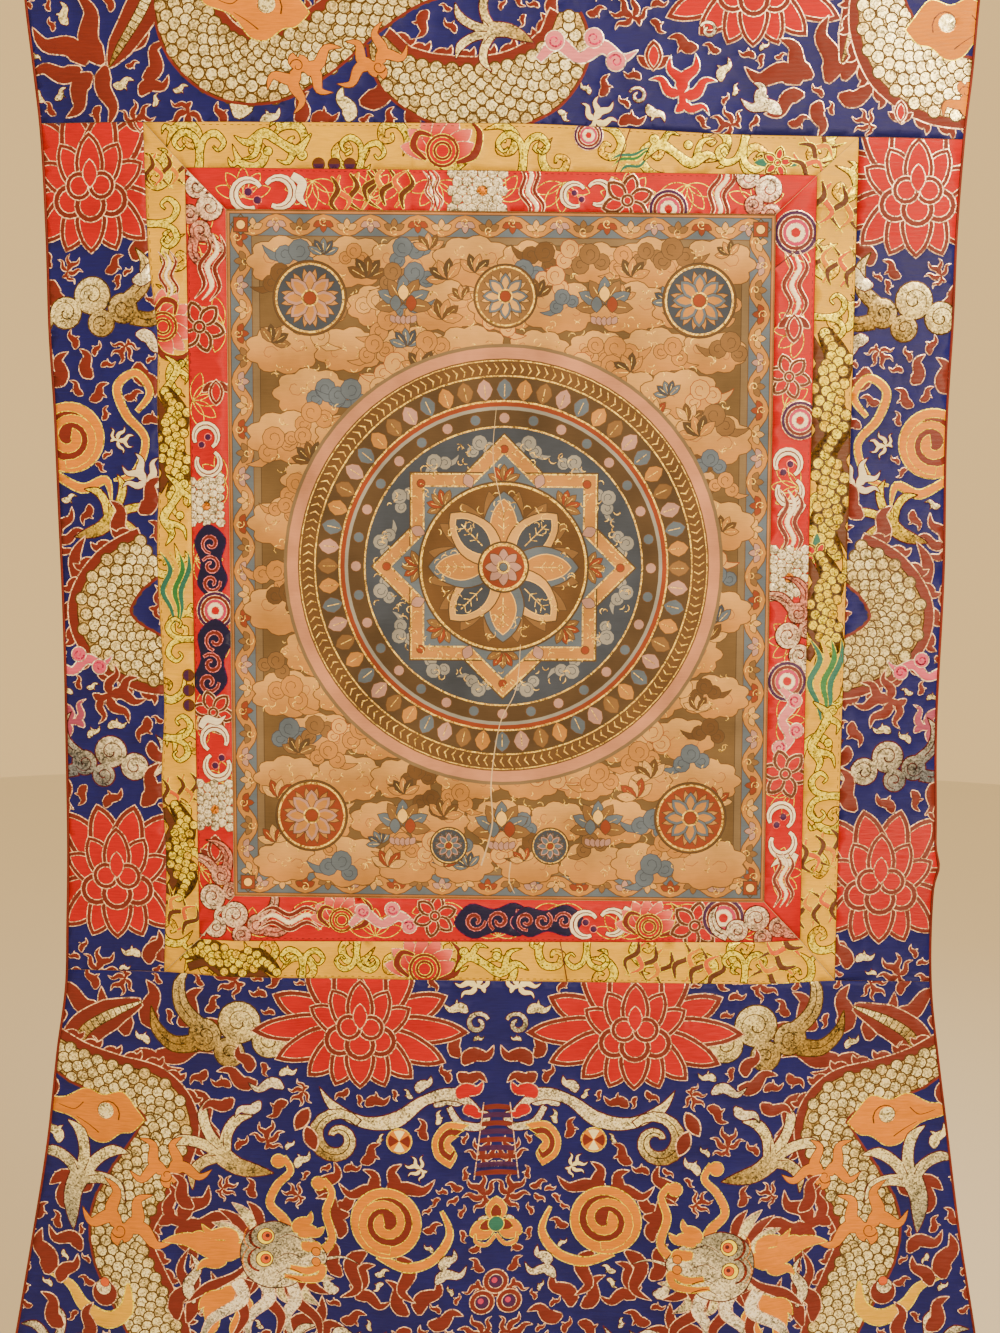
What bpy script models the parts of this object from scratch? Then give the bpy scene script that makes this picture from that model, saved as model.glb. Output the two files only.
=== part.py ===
"""Thangka scroll painting: a painted cloth framed by two silk strips and blue brocade.

Metres, +Z up. The origin is the middle of the top edge. The cloth hangs down along -Z and
its face looks along -Y. Every piece is a thin sheet with a narrow gap to the next one.
"""
from collections import namedtuple
import math

import bmesh
import bpy

HEIGHT = 1.2
CLOTH_THICKNESS = 0.002
BINDING_THICKNESS = 0.003
BINDING_WIDTH = 0.002
SEAM_GAP = 0.0003
PAINTING_RECESS = 0.001
SHARP_ANGLE = math.radians(40)

TOP_SEAM_DOWN = 0.19
TOP_SEAM_DROP = 0.007
TOP_SEAM_DROP_RUN = 0.2
BOTTOM_SEAM_DOWN = 0.819
BOTTOM_SEAM_SLOPE = 0.0067

SIDE_ROWS = 36
STRIP_COLUMNS = 18
STRIP_STEPS = 2
SIDE_COLUMNS = 4
PANEL_COLUMNS = 28
TOP_ROWS = 6
BOTTOM_ROWS = 14
PAINTING_COLUMNS = 12
PAINTING_ROWS = 15

Corner = namedtuple("Corner", "x down")
Frame = namedtuple("Frame", "top_left top_right bottom_left bottom_right")
SideLine = namedtuple("SideLine", "x_at_top x_at_bottom")
Edge = namedtuple("Edge", "down left right")
Wave = namedtuple("Wave", "down inset")
Fold = namedtuple("Fold", "x_seam x_hem half_width depth")
Curl = namedtuple("Curl", "side down half_height depth")

# Corners of the red strips' outer edge and of the painting.
RED_FRAME = Frame(
    Corner(-0.230, 0.222), Corner(0.2265, 0.2245), Corner(-0.226, 0.790), Corner(0.2285, 0.788))
PAINTING_FRAME = Frame(
    Corner(-0.2005, 0.2515), Corner(0.197, 0.2525), Corner(-0.1985, 0.7555), Corner(0.1995, 0.7575))
# The yellow strips' outer edge lies on the brocade's seams, so only its sides are given.
YELLOW_LEFT = SideLine(-0.260, -0.2545)
YELLOW_RIGHT = SideLine(0.256, 0.257)

# Half widths of the whole scroll, down from its top edge.
SIDE_EDGES = (
    Edge(0.000, 0.3530, 0.3470),
    Edge(0.100, 0.3455, 0.3415),
    Edge(0.150, 0.3400, 0.3390),
    Edge(0.195, 0.3365, 0.3345),
    Edge(0.260, 0.3355, 0.3305),
    Edge(0.330, 0.3335, 0.3300),
    Edge(0.400, 0.3295, 0.3290),
    Edge(0.500, 0.3285, 0.3305),
    Edge(0.600, 0.3270, 0.3295),
    Edge(0.700, 0.3285, 0.3325),
    Edge(0.780, 0.3300, 0.3305),
    Edge(0.830, 0.3315, 0.3325),
    Edge(0.880, 0.3390, 0.3395),
    Edge(0.950, 0.3485, 0.3510),
    Edge(1.030, 0.3620, 0.3635),
    Edge(1.100, 0.3735, 0.3750),
    Edge(1.200, 0.3910, 0.3900),
)

# The left yellow strip's outer seam wanders inwards between its corners.
LEFT_SEAM_WAVES = (
    Wave(0.190, 0.000),
    Wave(0.288, 0.002),
    Wave(0.340, 0.007),
    Wave(0.390, 0.0055),
    Wave(0.440, 0.0055),
    Wave(0.505, 0.0025),
    Wave(0.610, 0.005),
    Wave(0.670, 0.0015),
    Wave(0.730, 0.0035),
    Wave(0.818, 0.000),
)

# The side strips and panels lie further back than the painting, more so lower down.
FALL_AT_TOP_SEAM = 0.002
FALL_AT_BOTTOM_SEAM = 0.012
FALL_AT_HEM = 0.009
FALL_START = 0.192
FALL_RUN = 0.075

# The painting stands a little proud in its middle.
CROWN_HEIGHT = 0.003
CROWN_DOWN = 0.5
CROWN_HALF_WIDTH = 0.14
CROWN_HALF_HEIGHT = 0.24

# Hanging folds of the bottom panel; a negative depth is a ridge towards the viewer.
FOLDS = (
    Fold(-0.255, -0.290, 0.050, -0.006),
    Fold(-0.150, -0.175, 0.045, 0.007),
    Fold(-0.050, -0.060, 0.050, -0.007),
    Fold(0.060, 0.065, 0.045, 0.006),
    Fold(0.165, 0.185, 0.050, -0.008),
    Fold(0.270, 0.300, 0.045, 0.005),
)
FOLD_GROWTH_RUN = 0.26

# A slanting dent under the bottom seam.
DENT_START = Corner(-0.118, 0.835)
DENT_END = Corner(-0.172, 0.895)
DENT_HALF_WIDTH = 0.016
DENT_DEPTH = 0.0045
DENT_REACH = 0.6

# The free side edges roll back in shallow waves.
CURLS = (
    Curl(-1, 0.080, 0.050, 0.004),
    Curl(-1, 0.265, 0.085, 0.009),
    Curl(-1, 0.520, 0.070, 0.004),
    Curl(-1, 0.720, 0.080, 0.005),
    Curl(-1, 1.000, 0.110, 0.008),
    Curl(1, 0.150, 0.080, 0.005),
    Curl(1, 0.420, 0.090, 0.004),
    Curl(1, 0.660, 0.060, 0.005),
    Curl(1, 1.010, 0.110, 0.008),
)
CURL_START = 0.265
CURL_RUN = 0.075

# A small pucker in the right side edge.
PUCKER_DOWN = 0.7325
PUCKER_HALF_HEIGHT = 0.010
PUCKER_REACH = 0.0035

Finish = namedtuple("Finish", "colour roughness metallic")
PAINTED_CLOTH = Finish((0.30, 0.17, 0.08), 0.75, 0.0)
RED_SILK = Finish((0.80, 0.03, 0.03), 0.5, 0.0)
YELLOW_SILK = Finish((0.82, 0.44, 0.06), 0.45, 0.0)
BLUE_BROCADE = Finish((0.02, 0.025, 0.17), 0.5, 0.0)
MAROON_CLOTH = Finish((0.20, 0.03, 0.02), 0.7, 0.0)


def smooth(value):
    """Ease from 0 to 1 and stay there."""
    value = min(max(value, 0.0), 1.0)
    return value * value * (3.0 - 2.0 * value)


def blend(first, second, share):
    return first + (second - first) * share


def bell(distance, half_width):
    return math.exp(-(distance / half_width) ** 2)


def along_rows(rows, down, column):
    """Read a column of a table at a height, with a smooth curve through the rows."""
    if down <= rows[0].down:
        return getattr(rows[0], column)
    if down >= rows[-1].down:
        return getattr(rows[-1], column)
    index = max(i for i, row in enumerate(rows) if row.down <= down)
    before, start = rows[max(index - 1, 0)], rows[index]
    end, after = rows[index + 1], rows[min(index + 2, len(rows) - 1)]
    span = end.down - start.down
    share = (down - start.down) / span
    values = [getattr(row, column) for row in (before, start, end, after)]
    slope_start = (values[2] - values[0]) / (end.down - before.down) * span
    slope_end = (values[3] - values[1]) / (after.down - start.down) * span
    square, cube = share ** 2, share ** 3
    return ((2 * cube - 3 * square + 1) * values[1] + (cube - 2 * square + share) * slope_start
            + (3 * square - 2 * cube) * values[2] + (cube - square) * slope_end)


def fall_back(x, down):
    """How far the cloth beside the painting lies behind it."""
    if down < TOP_SEAM_DOWN:
        depth = FALL_AT_TOP_SEAM * smooth(down / TOP_SEAM_DOWN)
    elif down < BOTTOM_SEAM_DOWN:
        share = smooth((down - TOP_SEAM_DOWN) / (BOTTOM_SEAM_DOWN - TOP_SEAM_DOWN))
        depth = blend(FALL_AT_TOP_SEAM, FALL_AT_BOTTOM_SEAM, share)
    else:
        share = smooth((down - BOTTOM_SEAM_DOWN) / (HEIGHT - BOTTOM_SEAM_DOWN))
        depth = blend(FALL_AT_BOTTOM_SEAM, FALL_AT_HEM, share)
    return depth * smooth((abs(x) - FALL_START) / FALL_RUN)


def crown(x, down):
    return -CROWN_HEIGHT * bell(x, CROWN_HALF_WIDTH) * bell(down - CROWN_DOWN, CROWN_HALF_HEIGHT)


def hanging_folds(x, down):
    """Upright folds that start at the bottom seam and deepen towards the hem."""
    share = (down - BOTTOM_SEAM_DOWN) / (HEIGHT - BOTTOM_SEAM_DOWN)
    growth = smooth((down - BOTTOM_SEAM_DOWN) / FOLD_GROWTH_RUN)
    if growth == 0.0:
        return 0.0
    return growth * sum(
        fold.depth * bell(x - blend(fold.x_seam, fold.x_hem, share), fold.half_width)
        for fold in FOLDS)


def slanting_dent(x, down):
    run_x = DENT_END.x - DENT_START.x
    run_down = DENT_END.down - DENT_START.down
    length = math.hypot(run_x, run_down)
    off_x, off_down = x - DENT_START.x, down - DENT_START.down
    share = (off_x * run_x + off_down * run_down) / length ** 2
    across = (off_x * run_down - off_down * run_x) / length
    return DENT_DEPTH * bell(across, DENT_HALF_WIDTH) * bell(share - 0.5, DENT_REACH)


def rolled_edge(x, down):
    side = 1 if x > 0 else -1
    depth = sum(
        curl.depth * bell(down - curl.down, curl.half_height)
        for curl in CURLS if curl.side == side)
    return depth * smooth((abs(x) - CURL_START) / CURL_RUN)


def cloth_depth(x, down):
    """Y of the front face of the hanging cloth."""
    return (fall_back(x, down) + crown(x, down) + hanging_folds(x, down)
            + slanting_dent(x, down) + rolled_edge(x, down))


def side_edge(side, down):
    """X of the outer edge of the whole scroll."""
    if side < 0:
        return -along_rows(SIDE_EDGES, down, "left")
    pucker = PUCKER_REACH * bell(down - PUCKER_DOWN, PUCKER_HALF_HEIGHT)
    return along_rows(SIDE_EDGES, down, "right") + pucker


def panel_edge(side, down):
    """X of a brocade panel's outer edge, beside the binding."""
    return side_edge(side, down) - side * BINDING_WIDTH


def top_seam(x):
    return TOP_SEAM_DOWN + TOP_SEAM_DROP * smooth(x / TOP_SEAM_DROP_RUN)


def bottom_seam(x):
    return BOTTOM_SEAM_DOWN + BOTTOM_SEAM_SLOPE * x


def yellow_frame():
    lines = (YELLOW_LEFT, YELLOW_RIGHT)
    top = [Corner(line.x_at_top, top_seam(line.x_at_top)) for line in lines]
    bottom = [Corner(line.x_at_bottom, bottom_seam(line.x_at_bottom)) for line in lines]
    return Frame(*top, *bottom)


def between(first, second, share):
    return Corner(blend(first.x, second.x, share), blend(first.down, second.down, share))


def left_seam(share):
    """The seam between the left brocade panel and the yellow strip."""
    frame = yellow_frame()
    point = between(frame.top_left, frame.bottom_left, share)
    return Corner(point.x + along_rows(LEFT_SEAM_WAVES, point.down, "inset"), point.down)


def right_seam(share):
    frame = yellow_frame()
    return between(frame.top_right, frame.bottom_right, share)


def make_material(name, finish):
    material = bpy.data.materials.new(name)
    material.use_nodes = True
    shader = material.node_tree.nodes["Principled BSDF"]
    shader.inputs["Base Color"].default_value = (*finish.colour, 1.0)
    shader.inputs["Roughness"].default_value = finish.roughness
    shader.inputs["Metallic"].default_value = finish.metallic
    material.diffuse_color = (*finish.colour, 1.0)
    return material


def make_sheet(name, point, size, cells, finish, thickness=CLOTH_THICKNESS, recess=0.0):
    """A grid laid out by point(s, t), hung on the cloth's shape and thickened backwards."""
    margins = [SEAM_GAP / 2 / length for length in size]
    mesh_edit = bmesh.new()
    bmesh.ops.create_grid(mesh_edit, x_segments=cells[0], y_segments=cells[1], size=0.5)
    for vertex in mesh_edit.verts:
        s = blend(margins[0], 1.0 - margins[0], vertex.co.x + 0.5)
        t = blend(margins[1], 1.0 - margins[1], 0.5 - vertex.co.y)
        place = point(s, t)
        vertex.co = (place.x, cloth_depth(place.x, place.down) + recess, -place.down)
    extruded = bmesh.ops.extrude_face_region(mesh_edit, geom=mesh_edit.faces[:])
    back = [item for item in extruded["geom"] if isinstance(item, bmesh.types.BMVert)]
    bmesh.ops.translate(mesh_edit, verts=back, vec=(0.0, thickness, 0.0))
    bmesh.ops.triangulate(mesh_edit, faces=mesh_edit.faces[:])
    bmesh.ops.recalc_face_normals(mesh_edit, faces=mesh_edit.faces[:])
    mesh = bpy.data.meshes.new(name)
    mesh_edit.to_mesh(mesh)
    mesh_edit.free()
    mesh.shade_smooth()
    mesh.set_sharp_from_angle(angle=SHARP_ANGLE)
    mesh.materials.append(make_material(name, finish))
    return bpy.data.objects.new(name, mesh)


def make_painting():
    frame = PAINTING_FRAME

    def point(s, t):
        top = between(frame.top_left, frame.top_right, s)
        bottom = between(frame.bottom_left, frame.bottom_right, s)
        return between(top, bottom, t)

    size = (frame.top_right.x - frame.top_left.x, frame.bottom_left.down - frame.top_left.down)
    cells = (PAINTING_COLUMNS, PAINTING_ROWS)
    return make_sheet("painting", point, size, cells, PAINTED_CLOTH, recess=PAINTING_RECESS)


def make_strip(name, outer, inner, finish, cells):
    """A mitred strip between the curves outer(s) and inner(s), each from end to end."""
    start, end = outer(0.0), outer(1.0)
    length = math.hypot(end.x - start.x, end.down - start.down)
    width = math.hypot(start.x - inner(0.0).x, start.down - inner(0.0).down)
    # A mitred end is slanted at 45 degrees, so its margin is measured along the slant.
    size = (length / math.sqrt(2.0), width / math.sqrt(2.0))

    def point(s, t):
        return between(outer(s), inner(s), t)

    return make_sheet(name, point, size, cells, finish)


def frame_side(frame, side):
    """One side of a frame as a straight curve, left to right or top to bottom."""
    first, last = {
        "top": (frame.top_left, frame.top_right),
        "bottom": (frame.bottom_left, frame.bottom_right),
        "left": (frame.top_left, frame.bottom_left),
        "right": (frame.top_right, frame.bottom_right),
    }[side]
    return lambda s: between(first, last, s)


def yellow_side(side):
    """The outer edge of a yellow strip, which follows the brocade's seams."""
    straight = frame_side(yellow_frame(), side)
    if side == "left":
        return left_seam
    if side == "top":
        return lambda s: Corner(straight(s).x, top_seam(straight(s).x))
    return straight


def make_strips():
    strips = []
    for side in ("top", "left", "right", "bottom"):
        steps = STRIP_COLUMNS if side in ("top", "bottom") else SIDE_ROWS
        cells = (steps, STRIP_STEPS)
        red_edge = frame_side(RED_FRAME, side)
        inner_edge = frame_side(PAINTING_FRAME, side)
        strips.append(make_strip("red_strip_" + side, red_edge, inner_edge, RED_SILK, cells))
        strips.append(make_strip(
            "yellow_strip_" + side, yellow_side(side), red_edge, YELLOW_SILK, cells))
    return strips


def make_top_panel():
    ends = [outer_line(side, 0.0).down for side in (-1, 1)]

    def point(s, t):
        left = panel_edge(-1, blend(0.0, ends[0], t))
        right = panel_edge(1, blend(0.0, ends[1], t))
        x = blend(left, right, s)
        return Corner(x, blend(0.0, top_seam(x), t))

    size = (2 * SIDE_EDGES[0].left, TOP_SEAM_DOWN)
    return make_sheet("brocade_top", point, size, (PANEL_COLUMNS, TOP_ROWS), BLUE_BROCADE)


def make_bottom_panel():
    ends = [outer_line(side, 1.0).down for side in (-1, 1)]

    def point(s, t):
        left = panel_edge(-1, blend(ends[0], HEIGHT, t))
        right = panel_edge(1, blend(ends[1], HEIGHT, t))
        x = blend(left, right, s)
        return Corner(x, blend(bottom_seam(x), HEIGHT, t))

    size = (2 * SIDE_EDGES[-1].left, HEIGHT - BOTTOM_SEAM_DOWN)
    return make_sheet("brocade_bottom", point, size, (PANEL_COLUMNS, BOTTOM_ROWS), BLUE_BROCADE)


def outer_line(side, share):
    """The outer edge of a side panel, between the two seams."""
    top_x, bottom_x = panel_edge(side, TOP_SEAM_DOWN), panel_edge(side, BOTTOM_SEAM_DOWN)
    down = blend(top_seam(top_x), bottom_seam(bottom_x), share)
    return Corner(panel_edge(side, down), down)


def make_side_panel(name, side, seam):
    def point(s, t):
        first, last = outer_line(side, t), seam(t)
        return between(first, last, s) if side < 0 else between(last, first, s)

    size = (abs(outer_line(side, 0.5).x - seam(0.5).x), BOTTOM_SEAM_DOWN - TOP_SEAM_DOWN)
    return make_sheet(name, point, size, (SIDE_COLUMNS, SIDE_ROWS), BLUE_BROCADE)


def binding_rows(side):
    """Heights of the panels' rows along one side, so that the binding follows their edges."""
    top = outer_line(side, 0.0).down
    bottom = outer_line(side, 1.0).down
    rows = [blend(0.0, top, i / TOP_ROWS) for i in range(TOP_ROWS)]
    rows += [blend(top, bottom, i / SIDE_ROWS) for i in range(SIDE_ROWS)]
    rows += [blend(bottom, HEIGHT, i / BOTTOM_ROWS) for i in range(BOTTOM_ROWS + 1)]
    return rows


def make_binding(name, side):
    rows = binding_rows(side)
    count = len(rows) - 1

    def point(s, t):
        down = rows[round(t * count)]
        outer = side_edge(side, down)
        inner = panel_edge(side, down)
        return Corner(blend(outer, inner, s) if side < 0 else blend(inner, outer, s), down)

    size = (BINDING_WIDTH, HEIGHT)
    return make_sheet(name, point, size, (1, count), MAROON_CLOTH, BINDING_THICKNESS)


def main():
    for thing in list(bpy.data.objects):
        bpy.data.objects.remove(thing)
    collection = bpy.data.collections.new("thangka_scroll_painting")
    bpy.context.scene.collection.children.link(collection)
    pieces = [make_painting()]
    pieces += make_strips()
    pieces.append(make_top_panel())
    pieces.append(make_side_panel("brocade_left", -1, left_seam))
    pieces.append(make_side_panel("brocade_right", 1, right_seam))
    pieces.append(make_bottom_panel())
    pieces.append(make_binding("edge_binding_left", -1))
    pieces.append(make_binding("edge_binding_right", 1))
    for piece in pieces:
        collection.objects.link(piece)


main()
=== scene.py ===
"""Looks of the thangka scroll painting: brocade panels, silk strips, painted cloth, bindings."""
from collections import namedtuple
import math
import random

import bpy
import numpy as np
from mathutils import Matrix, Vector
from mathutils.geometry import delaunay_2d_cdt
from mathutils.kdtree import KDTree


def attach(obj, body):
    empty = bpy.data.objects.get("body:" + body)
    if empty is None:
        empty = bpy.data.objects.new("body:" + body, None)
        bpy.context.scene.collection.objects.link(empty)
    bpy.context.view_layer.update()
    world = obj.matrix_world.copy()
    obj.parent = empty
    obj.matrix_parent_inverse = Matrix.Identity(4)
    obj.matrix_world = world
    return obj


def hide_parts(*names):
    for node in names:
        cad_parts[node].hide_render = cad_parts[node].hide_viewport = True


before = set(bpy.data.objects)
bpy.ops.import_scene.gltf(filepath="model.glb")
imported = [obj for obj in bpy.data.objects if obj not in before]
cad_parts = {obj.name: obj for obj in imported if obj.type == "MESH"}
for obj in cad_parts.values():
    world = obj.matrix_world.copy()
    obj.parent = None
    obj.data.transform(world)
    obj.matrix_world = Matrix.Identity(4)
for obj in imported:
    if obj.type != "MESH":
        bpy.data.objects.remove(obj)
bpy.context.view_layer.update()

MM = 0.001
HEIGHT = 1.2
CLOTH_THICKNESS = 0.002
BINDING_WIDTH = 0.002
BINDING_THICKNESS = 0.003
SEAM_GAP = 0.0003
PAINTING_RECESS = 0.001
TOP_SEAM_DOWN = 0.19
TOP_SEAM_DROP = 0.007
TOP_SEAM_DROP_RUN = 0.2
BOTTOM_SEAM_DOWN = 0.819
BOTTOM_SEAM_SLOPE = 0.0067

# The relief of the woven and painted figures above their ground.
FIGURE_RELIEF = 0.0003

# How finely the sheets are cut: spacings in metres, a share of a seam's length, and counts.
FLAT_STEP = 0.008
BACK_STEP = 0.012
BINDING_STEP = 0.004
OUTLINE_STEP = 0.008
SEAM_SHARE_STEP = 0.013
STRIP_STEPS = 50
PAINTING_STEPS = 24
BINDING_ROWS = 240

# Corners of figures closer than this, in millimetres, are cut as one.
CUT_TOLERANCE = 0.001

Corner = namedtuple("Corner", "x down")
Frame = namedtuple("Frame", "top_left top_right bottom_left bottom_right")
SideLine = namedtuple("SideLine", "x_at_top x_at_bottom")
Edge = namedtuple("Edge", "down left right")
Wave = namedtuple("Wave", "down inset")
Fold = namedtuple("Fold", "x_seam x_hem half_width depth")
Curl = namedtuple("Curl", "side down half_height depth")

# The hanging shape repeats the sizes of the solids, in metres.
RED_FRAME = Frame(
    Corner(-0.230, 0.222), Corner(0.2265, 0.2245), Corner(-0.226, 0.790), Corner(0.2285, 0.788))
PAINTING_FRAME = Frame(
    Corner(-0.2005, 0.2515), Corner(0.197, 0.2525), Corner(-0.1985, 0.7555), Corner(0.1995, 0.7575))
YELLOW_LEFT = SideLine(-0.260, -0.2545)
YELLOW_RIGHT = SideLine(0.256, 0.257)
SIDE_EDGES = (
    Edge(0.000, 0.3530, 0.3470),
    Edge(0.100, 0.3455, 0.3415),
    Edge(0.150, 0.3400, 0.3390),
    Edge(0.195, 0.3365, 0.3345),
    Edge(0.260, 0.3355, 0.3305),
    Edge(0.330, 0.3335, 0.3300),
    Edge(0.400, 0.3295, 0.3290),
    Edge(0.500, 0.3285, 0.3305),
    Edge(0.600, 0.3270, 0.3295),
    Edge(0.700, 0.3285, 0.3325),
    Edge(0.780, 0.3300, 0.3305),
    Edge(0.830, 0.3315, 0.3325),
    Edge(0.880, 0.3390, 0.3395),
    Edge(0.950, 0.3485, 0.3510),
    Edge(1.030, 0.3620, 0.3635),
    Edge(1.100, 0.3735, 0.3750),
    Edge(1.200, 0.3910, 0.3900),
)
EDGE_AT_TOP_SEAM = SIDE_EDGES[3]
EDGE_AT_BOTTOM_SEAM = SIDE_EDGES[11]
LEFT_SEAM_WAVES = (
    Wave(0.190, 0.000),
    Wave(0.288, 0.002),
    Wave(0.340, 0.007),
    Wave(0.390, 0.0055),
    Wave(0.440, 0.0055),
    Wave(0.505, 0.0025),
    Wave(0.610, 0.005),
    Wave(0.670, 0.0015),
    Wave(0.730, 0.0035),
    Wave(0.818, 0.000),
)
FALL_AT_TOP_SEAM = 0.002
FALL_AT_BOTTOM_SEAM = 0.012
FALL_AT_HEM = 0.009
FALL_START = 0.192
FALL_RUN = 0.075
CROWN_HEIGHT = 0.003
CROWN_DOWN = 0.5
CROWN_HALF_WIDTH = 0.14
CROWN_HALF_HEIGHT = 0.24
FOLDS = (
    Fold(-0.255, -0.290, 0.050, -0.006),
    Fold(-0.150, -0.175, 0.045, 0.007),
    Fold(-0.050, -0.060, 0.050, -0.007),
    Fold(0.060, 0.065, 0.045, 0.006),
    Fold(0.165, 0.185, 0.050, -0.008),
    Fold(0.270, 0.300, 0.045, 0.005),
)
FOLD_GROWTH_RUN = 0.26
DENT_START = Corner(-0.118, 0.835)
DENT_END = Corner(-0.172, 0.895)
DENT_HALF_WIDTH = 0.016
DENT_DEPTH = 0.0045
DENT_REACH = 0.6
CURLS = (
    Curl(-1, 0.080, 0.050, 0.004),
    Curl(-1, 0.265, 0.085, 0.009),
    Curl(-1, 0.520, 0.070, 0.004),
    Curl(-1, 0.720, 0.080, 0.005),
    Curl(-1, 1.000, 0.110, 0.008),
    Curl(1, 0.150, 0.080, 0.005),
    Curl(1, 0.420, 0.090, 0.004),
    Curl(1, 0.660, 0.060, 0.005),
    Curl(1, 1.010, 0.110, 0.008),
)
CURL_START = 0.265
CURL_RUN = 0.075
PUCKER_DOWN = 0.7325
PUCKER_HALF_HEIGHT = 0.010
PUCKER_REACH = 0.0035


def smooth(value):
    """Ease from 0 to 1 and stay there."""
    value = min(max(value, 0.0), 1.0)
    return value * value * (3.0 - 2.0 * value)


def blend(first, second, share):
    return first + (second - first) * share


def bell(distance, half_width):
    return math.exp(-(distance / half_width) ** 2)


def along_rows(rows, down, column):
    """Read a column of a table at a height, with a smooth curve through the rows."""
    if down <= rows[0].down:
        return getattr(rows[0], column)
    if down >= rows[-1].down:
        return getattr(rows[-1], column)
    index = max(i for i, row in enumerate(rows) if row.down <= down)
    before, start = rows[max(index - 1, 0)], rows[index]
    end, after = rows[index + 1], rows[min(index + 2, len(rows) - 1)]
    span = end.down - start.down
    share = (down - start.down) / span
    values = [getattr(row, column) for row in (before, start, end, after)]
    slope_start = (values[2] - values[0]) / (end.down - before.down) * span
    slope_end = (values[3] - values[1]) / (after.down - start.down) * span
    square, cube = share ** 2, share ** 3
    return ((2 * cube - 3 * square + 1) * values[1] + (cube - 2 * square + share) * slope_start
            + (3 * square - 2 * cube) * values[2] + (cube - square) * slope_end)


def fall_back(x, down):
    """How far the cloth beside the painting lies behind it."""
    if down < TOP_SEAM_DOWN:
        depth = FALL_AT_TOP_SEAM * smooth(down / TOP_SEAM_DOWN)
    elif down < BOTTOM_SEAM_DOWN:
        share = smooth((down - TOP_SEAM_DOWN) / (BOTTOM_SEAM_DOWN - TOP_SEAM_DOWN))
        depth = blend(FALL_AT_TOP_SEAM, FALL_AT_BOTTOM_SEAM, share)
    else:
        share = smooth((down - BOTTOM_SEAM_DOWN) / (HEIGHT - BOTTOM_SEAM_DOWN))
        depth = blend(FALL_AT_BOTTOM_SEAM, FALL_AT_HEM, share)
    return depth * smooth((abs(x) - FALL_START) / FALL_RUN)


def crown(x, down):
    return -CROWN_HEIGHT * bell(x, CROWN_HALF_WIDTH) * bell(down - CROWN_DOWN, CROWN_HALF_HEIGHT)


def hanging_folds(x, down):
    """Upright folds that start at the bottom seam and deepen towards the hem."""
    share = (down - BOTTOM_SEAM_DOWN) / (HEIGHT - BOTTOM_SEAM_DOWN)
    growth = smooth((down - BOTTOM_SEAM_DOWN) / FOLD_GROWTH_RUN)
    if growth == 0.0:
        return 0.0
    return growth * sum(
        fold.depth * bell(x - blend(fold.x_seam, fold.x_hem, share), fold.half_width)
        for fold in FOLDS)


def slanting_dent(x, down):
    run_x = DENT_END.x - DENT_START.x
    run_down = DENT_END.down - DENT_START.down
    length = math.hypot(run_x, run_down)
    off_x, off_down = x - DENT_START.x, down - DENT_START.down
    share = (off_x * run_x + off_down * run_down) / length ** 2
    across = (off_x * run_down - off_down * run_x) / length
    return DENT_DEPTH * bell(across, DENT_HALF_WIDTH) * bell(share - 0.5, DENT_REACH)


def rolled_edge(x, down):
    side = 1 if x > 0 else -1
    depth = sum(
        curl.depth * bell(down - curl.down, curl.half_height)
        for curl in CURLS if curl.side == side)
    return depth * smooth((abs(x) - CURL_START) / CURL_RUN)


def cloth_depth(x, down):
    """Y of the front face of the hanging cloth."""
    return (fall_back(x, down) + crown(x, down) + hanging_folds(x, down)
            + slanting_dent(x, down) + rolled_edge(x, down))


def side_edge(side, down):
    """X of the outer edge of the whole scroll."""
    if side < 0:
        return -along_rows(SIDE_EDGES, down, "left")
    pucker = PUCKER_REACH * bell(down - PUCKER_DOWN, PUCKER_HALF_HEIGHT)
    return along_rows(SIDE_EDGES, down, "right") + pucker


def panel_edge(side, down):
    """X of a brocade panel's outer edge, beside the binding."""
    return side_edge(side, down) - side * BINDING_WIDTH


def top_seam(x):
    return TOP_SEAM_DOWN + TOP_SEAM_DROP * smooth(x / TOP_SEAM_DROP_RUN)


def bottom_seam(x):
    return BOTTOM_SEAM_DOWN + BOTTOM_SEAM_SLOPE * x


def yellow_frame():
    lines = (YELLOW_LEFT, YELLOW_RIGHT)
    top = [Corner(line.x_at_top, top_seam(line.x_at_top)) for line in lines]
    bottom = [Corner(line.x_at_bottom, bottom_seam(line.x_at_bottom)) for line in lines]
    return Frame(*top, *bottom)


def corners_of(shape):
    """The corners of a frame in order round it."""
    return shape.top_left, shape.top_right, shape.bottom_right, shape.bottom_left


def between(first, second, share):
    return Corner(blend(first.x, second.x, share), blend(first.down, second.down, share))


def in_mm(corner):
    return corner.x / MM, corner.down / MM


def left_seam(share):
    frame_now = yellow_frame()
    point = between(frame_now.top_left, frame_now.bottom_left, share)
    return Corner(point.x + along_rows(LEFT_SEAM_WAVES, point.down, "inset"), point.down)


def right_seam(share):
    frame_now = yellow_frame()
    return between(frame_now.top_right, frame_now.bottom_right, share)


def srgb(red, green, blue):
    """A colour as the eye reads it, 0 to 255, in the renderer's linear values."""
    def linear(value):
        value /= 255.0
        return value / 12.92 if value <= 0.04045 else ((value + 0.055) / 1.055) ** 2.4
    return tuple(linear(value) for value in (red, green, blue))


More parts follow.
